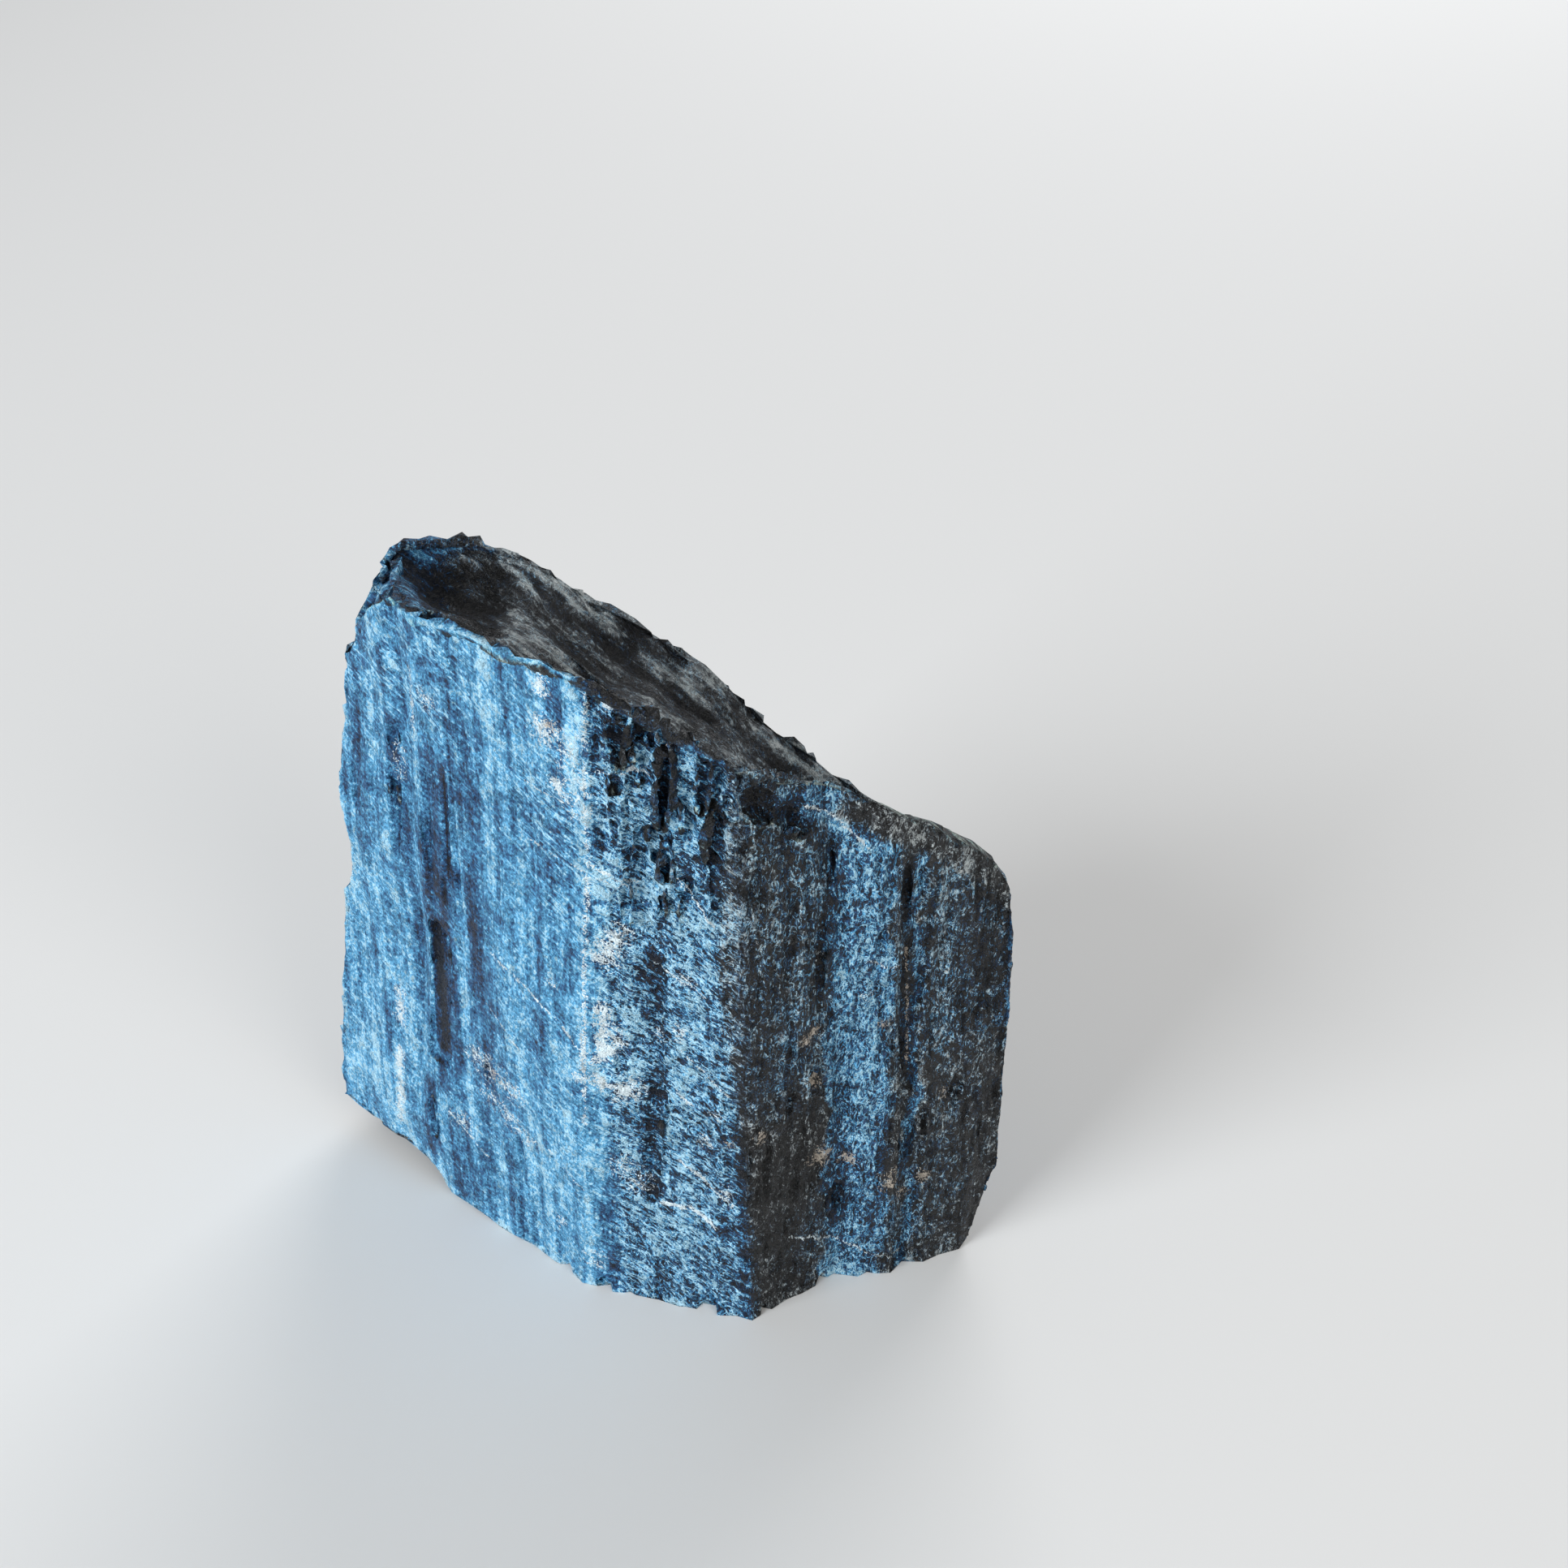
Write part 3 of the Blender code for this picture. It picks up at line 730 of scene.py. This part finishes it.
# %% Powder, stains and relief
POWDER = [
    ([(-8.8, 36.0), (-9.8, 34.0)], 1.5), ([(-10.2, 29.6), (-10.2, 25.7)], 0.9), ([(-9.2, 27.1)], 1.3),
    ([(-9.2, 26.3), (-10.7, 24.7)], 1.2), ([(-8.8, 21.7)], 2.0), ([(-10.5, 22.5)], 1.4),
    ([(-12.0, 22.7)], 1.0), ([(-27.8, 19.1), (-28.0, 16.4)], 1.0), ([(-13.0, 52.3)], 1.9),
    ([(-13.1, 55.7)], 1.2), ([(-8.6, 55.5)], 0.8), ([(-12.4, 48.0)], 1.2)
]
FAINT_POWDER = [
    ([(-11.3, 52.0), (-11.1, 46.8)], 1.8), ([(-25.2, 43.5), (-25.4, 41.0)], 1.0), ([(-3.8, 33.0)], 1.1),
    ([(-4.6, 28.0)], 1.2), ([(-2.0, 20.5)], 1.0), ([(-3.0, 17.5)], 1.0), ([(-1.6, 13.0)], 1.0),
    ([(-20.0, 14.5), (-17.0, 12.5)], 1.8), ([(-22, 50)], 1.6), ([(-9.5, 14.0), (-8.0, 12.0)], 1.6),
    ([(-6.0, 27.0)], 1.0), ([(-21.0, 18.0), (-18.0, 17.0)], 2.0), ([(9.0, 29.0)], 0.9),
    ([(5.2, 33.4)], 0.8), ([(-14.0, 30.5)], 1.0), ([(-15.0, 5.0)], 1.4), ([(-11.9, 3.1)], 1.6),
    ([(-23.0, 10.0)], 1.8)
]
FAINT = 0.55
STAINS = [
    ([(-12.6, 52.8)], 0.8), ([(-4.6, 53.0)], 1.0), ([(4.8, 26.7)], 1.3), ([(5.1, 21.9)], 0.9),
    ([(5.7, 14.5)], 1.6), ([(7.9, 13.2)], 1.2), ([(11.3, 10.4)], 1.7), ([(13.7, 9.7)], 1.0),
    ([(12.0, 8.2)], 1.0), ([(15.2, 17.5)], 0.9), ([(1.2, 18.6)], 0.8), ([(-1.0, 17.8)], 0.8),
    ([(10.3, 25.8)], 0.8), ([(-19.5, 17.5)], 1.0)
]
# Tan dust on the break behind the rim, left end: (x, y, z), reach.
DUSTY = [((-20.5, 16.0, 54.0), 1.6), ((-18.5, 17.5, 54.0), 1.2), ((-16.0, 13.5, 53.0), 1.0)]
FINE_RELIEF, BROAD_RELIEF = 0.10, 0.45


def marks(table):
    """How near each vertex is to the nearest mark: 1 on it, 0 at its reach."""
    return np.max([nearness(points, reach) for points, reach in table], axis=0) * (front > 0.2)


amount("powder", np.maximum(marks(POWDER), FAINT * marks(FAINT_POWDER)))
dust = np.max([1 - np.linalg.norm(place - spot, axis=1) / reach for spot, reach in DUSTY], axis=0)
amount("stain", np.maximum(marks(STAINS), dust))
# The rim behind the front faces: a pale strip on the break, close to the front's top edge.
amount("rim", (1 - side) * ramp(facing[:, 2], 0.1, 0.4) * ramp(behind_front, 3.2, 1.0) * (place[:, 2] > 20))
# Painted light and shade from the relief: the ridge amount is higher where the skin stands out and lower in
# its hollows.
fine, broad = heights(3, facing), heights(30, facing)
for name, found in (("fine", fine), ("broad", broad)):
    print(name, "relief in mm, low to high:", np.percentile(found, [5, 50, 95]).round(3))
amount("ridge", 0.5 + 0.25 * np.clip(fine / FINE_RELIEF, -1, 1) + 0.25 * np.clip(broad / BROAD_RELIEF, -1, 1))

# %% [markdown]
# ## The finish
# Tourmaline is black all through. What shows grey is its skin: countless tiny fibres and facets, frosted
# with dust, that scatter the light. The blue is painted sheen, the reflection of the cool light put into
# the colour. So the colour is a dark body under a web of fine bright fibres. They lie across the left and
# middle faces and along the right one, and they are thick where the skin is frosted and carries painted
# sheen, and thin where it is not. Hollows are painted dark as shade, and what stands out is painted lighter.


# %% Material helpers
finish = bpy.data.materials.new("tourmaline_skin")
finish.use_nodes = True
nodes, links = finish.node_tree.nodes, finish.node_tree.links
nodes.clear()


def add(kind, settings=None, **inputs):
    """A node with its settings, and its inputs given as values or as other nodes' outputs."""
    node = nodes.new("ShaderNode" + kind)
    for key, value in (settings or {}).items():
        setattr(node, key, value)
    for key, value in inputs.items():
        socket = node.inputs[int(key[1:])] if key[1:].isdigit() else node.inputs[key.replace("_", " ")]
        if isinstance(value, bpy.types.NodeSocket):
            links.new(value, socket)
        else:
            socket.default_value = value
    return node


def maths(operation, a, b=0.0):
    """One operation on two values, each a number or a node's output."""
    return add("Math", {"operation": operation}, _0=a, _1=b).outputs[0]


def times(a, b):
    return maths("MULTIPLY", a, b)


def plus(base, a, b):
    """The base, with a times b on top."""
    return maths("ADD", base, times(a, b))


def span(value, low, high, to_low=0.0, to_high=1.0):
    """The value's stretch from low to high, spread to a new one and kept inside it."""
    node = add("MapRange", {"clamp": True, "interpolation_type": "SMOOTHSTEP"}, _0=value, _1=low, _2=high,
               _3=to_low, _4=to_high)
    return node.outputs[0]


def total(*terms):
    """The sum of (value, weight) pairs, each value counted from its middle, one half."""
    found = None
    for value, weight in terms:
        term = add("Math", {"operation": "MULTIPLY_ADD"}, _0=value, _1=weight, _2=-0.5 * weight).outputs[0]
        found = term if found is None else maths("ADD", found, term)
    return found


def mix(share, a, b):
    """A value that is a where share is 0, and b where it is 1."""
    node = add("Mix", {"data_type": "FLOAT", "clamp_factor": True}, _0=share, _2=a, _3=b)
    return node.outputs[0]


def blend(share, a, b):
    """The same for colours."""
    node = add("Mix", {"data_type": "RGBA", "clamp_factor": True}, _0=share, _6=a, _7=b)
    return node.outputs[2]


def stretched(size, stretch, turn):
    """Object coordinates for a pattern: its size in mm, stretched along turned axes."""
    return add("Mapping", {"vector_type": "TEXTURE"}, Vector=coords, Rotation=radians(turn),
               Scale=[size * MM * amount for amount in stretch]).outputs[0]


def grains(size, stretch=(1, 1, 1), turn=(0, 0, 0), detail=3.0, roughness=0.55, distortion=0.0):
    """Noise, from 0 to 1 and mostly near its middle."""
    node = add("TexNoise", None, Vector=stretched(size, stretch, turn), Scale=1.0, Detail=detail,
               Roughness=roughness, Distortion=distortion)
    return node.outputs[0]


def fibres(size, stretch, turn, thin=0.10, detail=2.0, distortion=0.5):
    """A web of thin bright lines: where the noise crosses its middle value."""
    off_middle = maths("SUBTRACT", grains(size, stretch, turn, detail, 0.6, distortion), 0.5)
    return span(maths("ABSOLUTE", off_middle), 0.0, thin, 1.0, 0.0)


def crystals(size, stretch=(1, 1, 1), turn=(0, 0, 0)):
    """Cells like crystal grains: each one's random shade, and its random direction."""
    node = add("TexVoronoi", None, Vector=stretched(size, stretch, turn), Scale=1.0)
    return add("SeparateColor", None, Color=node.outputs["Color"]).outputs[0], node.outputs["Color"]


def painted(name):
    """An amount painted on the mesh, as a value."""
    return add("Attribute", {"attribute_name": name, "attribute_type": "GEOMETRY"}).outputs["Fac"]


coords = add("TexCoord").outputs["Object"]

# %% Lines that have a place
from_corner = add("VectorMath", {"operation": "MULTIPLY_ADD"}, _0=coords, _1=(1 / MM, 0, 1 / MM),
                  _2=(-FRONT_CORNER[0], 0, 0)).outputs[0]


def stroke(points, width):
    """A soft line through (x, z) points on the front, width in mm: 1 on it, 0 at its edge."""
    found = None
    for (x0, z0), (x1, z1) in zip(points, points[1:]):
        length_squared = (x1 - x0) ** 2 + (z1 - z0) ** 2
        away = add("VectorMath", {"operation": "SUBTRACT"}, _0=from_corner, _1=(x0, 0, z0)).outputs[0]
        share = add("VectorMath", {"operation": "DOT_PRODUCT"}, _0=away,
                    _1=((x1 - x0) / length_squared, 0, (z1 - z0) / length_squared)).outputs["Value"]
        share = add("Clamp", None, _0=share).outputs[0]
        along = add("VectorMath", {"operation": "SCALE"}, _0=(x1 - x0, 0, z1 - z0), Scale=share).outputs[0]
        gap = add("VectorMath", {"operation": "DISTANCE"}, _0=away, _1=along).outputs["Value"]
        near = span(gap, 0, width / 2, 1, 0)
        found = near if found is None else maths("MAXIMUM", found, near)
    return found


# Each line is its points, its width in mm and how strong it is.
SEAM = [
    ([(-10.0, 56.3), (-10.5, 47.1), (-10.7, 40.6), (-11.3, 32.3), (-11.7, 24.6), (-12.0, 18.0)], 0.80, 0.56),
    ([(-10.7, 41.0), (-10.9, 38.6)], 0.9, 0.75), ([(-11.1, 35.8), (-11.3, 32.6)], 0.8, 0.7),
    ([(-11.6, 27.0), (-11.9, 22.5)], 1.0, 0.85), ([(-10.4, 50.0), (-10.6, 46.0)], 0.8, 0.7)
]
SCRATCHES = [
    ([(-6.4, 10.4), (-4.2, 10.5), (-2.3, 9.3)], 0.75, 1.0), ([(-18.6, 29.7), (-16.6, 29.0)], 0.8, 0.7),
    ([(-16.6, 29.0), (-13.4, 27.1), (-11.0, 24.2)], 0.4, 0.62),
    ([(-5.0, 15.2), (-3.4, 14.0), (-1.0, 11.7)], 0.5, 0.8), ([(-5.0, 22.3), (-3.9, 20.9)], 0.6, 0.8),
    ([(3.4, 6.9), (6.5, 4.8)], 0.5, 0.75), ([(6.5, 4.8), (9.5, 2.4), (12.2, 1.3)], 0.5, 0.6),
    ([(8.6, 32.5), (10.2, 31.2), (11.6, 31.0)], 0.4, 0.6), ([(-23.3, 52.0), (-23.8, 45.2)], 0.6, 0.55),
    ([(-28.3, 13.2), (-29.2, 5.0)], 1.4, 0.8), ([(4.4, 46.8), (6.2, 45.2), (8.8, 42.2)], 0.45, 0.75),
    ([(-16.3, 42.4), (-10.4, 41.2), (-7.3, 39.7)], 0.3, 0.62), ([(-10.4, 42.0), (-7.3, 40.1)], 0.5, 0.85),
    ([(-14.9, 47.1), (-11.0, 46.6)], 0.35, 0.65), ([(-6.3, 33.9), (-2.7, 31.7)], 0.45, 0.7),
    ([(-4.3, 41.7), (-1.9, 38.0)], 0.4, 0.7), ([(-4.5, 26.3), (-1.0, 22.5)], 0.35, 0.65),
    ([(-19.6, 24.3), (-17.0, 22.1)], 0.3, 0.6), ([(-9.7, 49.9), (-6.3, 50.2)], 0.35, 0.62),
    ([(-8.0, 50.6), (-6.0, 49.6)], 0.4, 0.7), ([(-24.0, 10.5), (-21.0, 7.5)], 0.45, 0.6),
    ([(-15.2, 13.0), (-12.5, 10.6)], 0.4, 0.6)
]
# The sunken strip is painted darker and ends in a level step at its top. Two thinner darker lines lie above
# it.
STRIP_LINE, STRIP_WIDE, STRIP_STEP = [(-23.3, 31.0), (-24.05, 16.8)], 1.8, 29.5
DARKER_LINES = [
    ([(-21.4, 44.5), (-21.9, 34.5)], 0.40, 0.30), ([(-25.3, 42.0), (-26.2, 34.0)], 0.45, 0.25)
]
RUST_LINES = [([(11.8, 32.0), (12.0, 28.5), (12.2, 21.0)], 0.45, 0.62)]


def strokes(table):
    """The strongest of several lines."""
    found = None
    for points, width, strength in table:
        near = times(stroke(points, width), strength)
        found = near if found is None else maths("MAXIMUM", found, near)
    return found


# %% Patterns in the skin
frost_and_sheen, ridge, rugged, scaly = painted("frost_and_sheen"), painted("ridge"), painted("rugged"), painted("scaly")
slanted, side, front_share = painted("slanted"), painted("side"), painted("front")
rim, calm = painted("rim"), painted("calm")
clouds = grains(6.0, (1, 1, 1.6), detail=3)
mottle = grains(1.3, (1, 1, 1.2), (0, 10, 0), detail=6, roughness=0.65)
clumps = grains(0.6, (2.0, 2.0, 1), (0, 30, 0), detail=3, roughness=0.7)
columns = mix(0.5, grains(0.9, (1, 1, 18), (0, 2.0, 0), detail=3),
              grains(2.4, (1, 1, 12), (0, 2.0, 0), detail=3))
hairlines = fibres(1.8, (1, 1, 30), (0, 2.5, 0), 0.025, 2, 0.0)
ripples = mix(0.5, grains(0.5, (5, 1, 1), BREAK_TURN, detail=4),
              grains(1.5, (4, 1, 1), BREAK_TURN, detail=4, distortion=0.4))
lengthwise = mix(side, ripples, columns)
wisps = fibres(1.1, (8.0, 8.0, 1), (0, 33, 0), 0.03, 3, 0.5)
ledges = fibres(1.8, (5, 1, 1), BREAK_TURN, 0.035, 2, 0.3)
scales = grains(0.5, (2.2, 2.2, 1), (0, 36, 0), detail=3, roughness=0.6, distortion=0.8)
upright = fibres(0.42, (1, 1, 1.9), (0, 4, 0), 0.07, 3, 1.0)
upright_coarse = fibres(0.9, (1, 1, 2.2), (0, 4, 0), 0.06, 3, 1.0)
crossed = maths("MAXIMUM", fibres(0.42, (2.8, 2.8, 1), (0, 37, 0), 0.06, 2, 1.1),
                times(fibres(0.6, (1, 1, 3.0), (0, 8, 0), 0.05, 2, 1.2), 0.8))
crossed_coarse = fibres(0.9, (3.6, 3.6, 1), (0, 34, 0), 0.06, 3, 1.0)
flecks = span(grains(0.42, (2.8, 2.8, 1), (0, 34, 0), detail=3, roughness=0.65, distortion=0.4), 0.58, 0.68)
felt = mix(slanted, upright, crossed)
coarse_felt = mix(slanted, upright_coarse, crossed_coarse)
small_shade, small_way = crystals(0.22, (1, 1, 1.4))
large_shade, large_way = crystals(0.8, (1.5, 1.5, 1), (0, 20, 0))
plates, _ = crystals(2.6, (1.6, 1.6, 1), (0, 24, 0))
grit = grains(0.15, detail=1)

# %% Body and frost
RIM_FROST = 0.20
on_break = maths("SUBTRACT", 1.0, side)
# Fine grain: a web of fibres where the skin is rough, a quiet one where it is calm, and bright flecks.
coarse_grain = total((felt, 0.50), (coarse_felt, 0.42), (small_shade, 0.18), (grit, 0.4), (large_shade, 0.20))
coarse_grain = maths("ADD", coarse_grain, 0.09)
quiet = grains(0.2, (1, 1, 1.3), detail=2)
smooth_grain = total((quiet, 1.5), (small_shade, 0.25), (felt, 0.10), (large_shade, 0.08))
fine = mix(calm, coarse_grain, smooth_grain)
# Painted glints: the brightest crystal grains are painted lighter, as sparkles.
fine = plus(fine, span(small_shade, 0.90, 0.97), 0.22)
fine = plus(fine, flecks, times(slanted, 0.28))
scale_grain = times(scaly, total((scales, 2.0)))
fine = maths("ADD", times(fine, mix(side, 0.45, 1.0)), scale_grain)
# Broad light and dark: clouds and mottling, painted light where the skin stands out and painted shade in its
# hollows, the growth lines, and the ripples of the break.
broad = total((clouds, 0.8), (ridge, 0.75), (plates, 0.12))
broad = plus(broad, total((mottle, 1.2)), mix(front_share, 0.6, 1.0))
lined = maths("ADD", mix(calm, 1.6, 3.4), mix(front_share, 1.0, 0.0))
broad = plus(broad, total((lengthwise, 1.0)), lined)
broad = plus(broad, on_break, total((ripples, 1.6), (ledges, 0.35)))
broad = plus(broad, slanted, total((mottle, 1.1), (clumps, 0.6), (plates, 0.2)))
broad = maths("SUBTRACT", broad, times(hairlines, times(side, 0.16)))
# The level of frost and painted sheen: the painted amount, made uneven, darker in the strip and brighter
# along the rim.
level = plus(frost_and_sheen, fine, mix(rugged, -0.2, 1.45))
level = plus(level, broad, mix(rugged, 0.45, 0.85))
level = plus(level, times(wisps, mix(scaly, 0.3, 1.0)), 0.42)
height_here = add("SeparateXYZ", None, Vector=from_corner).outputs["Z"]
below_step = span(height_here, STRIP_STEP, STRIP_STEP + 0.15, 1, 0)
strip_here = times(stroke(STRIP_LINE, STRIP_WIDE), below_step)
darkened = span(maths("MAXIMUM", strip_here, strokes(DARKER_LINES)), 0.10, 0.32)
level = maths("SUBTRACT", level, times(darkened, times(front_share, 0.30)))
rim_frost = maths("ADD", RIM_FROST, total((ripples, 2.2), (mottle, 0.8)))
level = plus(level, rim, rim_frost)

# %% Colours of the body, the powder and the stains
# From the bare black body to the brightest frost and painted sheen: position, then colour. The blue steps
# give the painted blue sheen.
BLUE_STEPS = [
    (0.0, (0.003, 0.006, 0.014)), (0.2, (0.006, 0.026, 0.078)), (0.4, (0.015, 0.092, 0.230)),
    (0.6, (0.060, 0.252, 0.462)), (0.8, (0.135, 0.49, 0.81)), (1.0, (0.50, 0.82, 1.0))
]
GREY_STEPS = [
    (0.0, (0.005, 0.005, 0.005)), (0.2, (0.012, 0.012, 0.013)), (0.4, (0.036, 0.040, 0.044)),
    (0.6, (0.120, 0.135, 0.145)), (0.8, (0.26, 0.29, 0.30)), (1.0, (0.50, 0.54, 0.54))
]


def steps(value, table):
    """The colour that the table gives for a value."""
    node = add("ValToRGB", None, Fac=value)
    stops = node.color_ramp.elements
    for _ in table[2:]:
        stops.new(0.5)
    for stop, (position, colour) in zip(stops, table):
        stop.position, stop.color = position, (*colour, 1)
    return node.outputs[0]


def clotted(painted_amount, low, high):
    """A painted patch broken into clots: nothing outside it, and more and more of it towards its middle."""
    clots = maths("ADD", painted_amount, total((grit, 2.0), (clumps, 2.4), (felt, 0.6)))
    return times(span(clots, low, high), span(painted_amount, 0.0, 0.2))


POWDER_WHITE, RIM_OLIVE = (0.84, 0.96, 1.0, 1), (0.92, 1.0, 0.84, 1)
STAIN_TAN = (0.58, 0.50, 0.41, 1)
# The colour goes from grey to blue as the painted blue sheen grows.
uneven = total((clouds, 0.3), (felt, 0.3), (mottle, 0.7))
bluish = maths("ADD", times(painted("blue_sheen"), 1.2), uneven)
colour = blend(span(bluish, 0.2, 0.8), steps(level, GREY_STEPS), steps(level, BLUE_STEPS))
olive = add("Mix", {"data_type": "RGBA", "blend_type": "MULTIPLY"}, _0=times(rim, 0.8),
            _6=colour, _7=RIM_OLIVE)
colour = olive.outputs[2]
lines_here = times(maths("MAXIMUM", strokes(SEAM), strokes(SCRATCHES)), front_share)
patches = maths("MAXIMUM", painted("powder"), lines_here)
colour = blend(times(clotted(patches, 0.44, 0.66), 0.95), colour, POWDER_WHITE)
dirt = maths("MAXIMUM", painted("stain"), times(strokes(RUST_LINES), front_share))
colour = blend(times(clotted(dirt, 0.50, 0.78), 0.85), colour, STAIN_TAN)

# %% Gloss and fine relief
FACET_TILT = 0.35
BUMP_HEIGHT = 0.3
REFRACTION, SHINE = 1.63, 0.32


def tilted(normal, way, amount):
    """The normal, with each crystal grain's own tilt added."""
    off = add("VectorMath", {"operation": "SUBTRACT"}, _0=way, _1=(0.5, 0.5, 0.5)).outputs[0]
    off = add("VectorMath", {"operation": "SCALE"}, _0=off, Scale=amount).outputs[0]
    tipped = add("VectorMath", {"operation": "ADD"}, _0=normal, _1=off).outputs[0]
    return add("VectorMath", {"operation": "NORMALIZE"}, _0=tipped).outputs[0]


rough = maths("ADD", span(level, 0.1, 0.9, 0.40, 0.62), total((small_shade, -0.25)))
height = total((felt, 0.30), (coarse_felt, 0.25), (lengthwise, 0.9), (grit, 0.5), (mottle, 1.6),
               (large_shade, 0.15))
height = plus(height, scaly, total((scales, 1.6)))
bump = add("Bump", None, Strength=1.0, Distance=BUMP_HEIGHT * MM, Height=height)
normal = tilted(tilted(bump.outputs[0], small_way, FACET_TILT), large_way, FACET_TILT)
shader = add("BsdfPrincipled", None, Base_Color=colour, Roughness=rough, IOR=REFRACTION,
             Specular_IOR_Level=SHINE, Normal=normal)
add("OutputMaterial", None, Surface=shader.outputs[0])
print("finish of", len(nodes), "nodes")
stone.data.materials.clear()
stone.data.materials.append(finish)
stone.data.polygons.foreach_set("material_index", np.zeros(len(stone.data.polygons), np.int32))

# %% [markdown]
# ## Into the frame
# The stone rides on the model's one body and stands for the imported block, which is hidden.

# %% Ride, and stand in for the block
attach(stone, "root")
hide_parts("tourmaline")

# %% [markdown]
# ## A plain stage
# A pale floor, a broad cool light from the left as from a window, and weak fills from the right and
# the back, so that no side is lost in the dark.

# %% The floor
FLOOR_SIZE = 6.0
PAPER_WHITE, PAPER_ROUGHNESS = (0.78, 0.77, 0.75, 1), 0.8

bpy.ops.object.select_all(action="DESELECT")
bpy.ops.mesh.primitive_plane_add(size=FLOOR_SIZE, location=(0, 0, 0))
floor = bpy.context.object
floor.name = "floor"
paper = bpy.data.materials.new("paper")
paper.use_nodes = True
paper.node_tree.nodes["Principled BSDF"].inputs["Base Color"].default_value = PAPER_WHITE
paper.node_tree.nodes["Principled BSDF"].inputs["Roughness"].default_value = PAPER_ROUGHNESS
floor.data.materials.append(paper)
floor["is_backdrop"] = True

# %% Soft lights
# Each light: its name, its place and size in metres, its power in watts and its colour.
LIGHTS = [("window", (-0.50, -0.42, 0.33), 0.40, 5.0, (0.90, 0.95, 1.0)),
          ("fill_right", (0.40, -0.55, 0.38), 0.4, 2.0, (1.0, 0.98, 0.95)),
          ("fill_back", (0.2, 0.6, 0.45), 0.5, 3.0, (0.95, 0.97, 1.0))]
LIGHTS_AIM = (0, 0, 0.03)
ROOM_COLOUR, ROOM_LIGHT = (0.90, 0.92, 0.95, 1), 0.25


def soft_light(name, place, size, power, colour):
    """A square soft light in metres, aimed at the middle of the stone."""
    lamp = bpy.data.lights.new(name, "AREA")
    lamp.size = size
    lamp.energy = power
    lamp.color = colour
    holder = bpy.data.objects.new(name, lamp)
    holder.location = place
    holder.rotation_euler = (Vector(LIGHTS_AIM) - holder.location).to_track_quat("-Z", "Y").to_euler()
    bpy.context.scene.collection.objects.link(holder)


for light in LIGHTS:
    soft_light(*light)
world = bpy.data.worlds.new("studio")
world.use_nodes = True
world.node_tree.nodes["Background"].inputs["Color"].default_value = ROOM_COLOUR
world.node_tree.nodes["Background"].inputs["Strength"].default_value = ROOM_LIGHT
bpy.context.scene.world = world
print(len(LIGHTS), "soft lights")

# %% The camera
# It faces the front corner and looks down at it. Its place is in metres, its lens in mm, its tilt in degrees.
CAMERA_PLACE = (0.0104, -0.13662, 0.13046)
CAMERA_LENS, CAMERA_SENSOR, CAMERA_NEAREST = 50, 36, 0.01
LOOKS_DOWN = 34

camera = bpy.data.objects.new("camera", bpy.data.cameras.new("camera"))
camera.data.lens = CAMERA_LENS
camera.data.sensor_width = CAMERA_SENSOR
camera.data.clip_start = CAMERA_NEAREST
camera.location = CAMERA_PLACE
camera.rotation_euler = (math.radians(90 - LOOKS_DOWN), 0, 0)
bpy.context.scene.collection.objects.link(camera)
bpy.context.scene.camera = camera
bpy.context.scene.view_settings.view_transform = "Standard"

# %% The size, and the end
low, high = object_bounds()
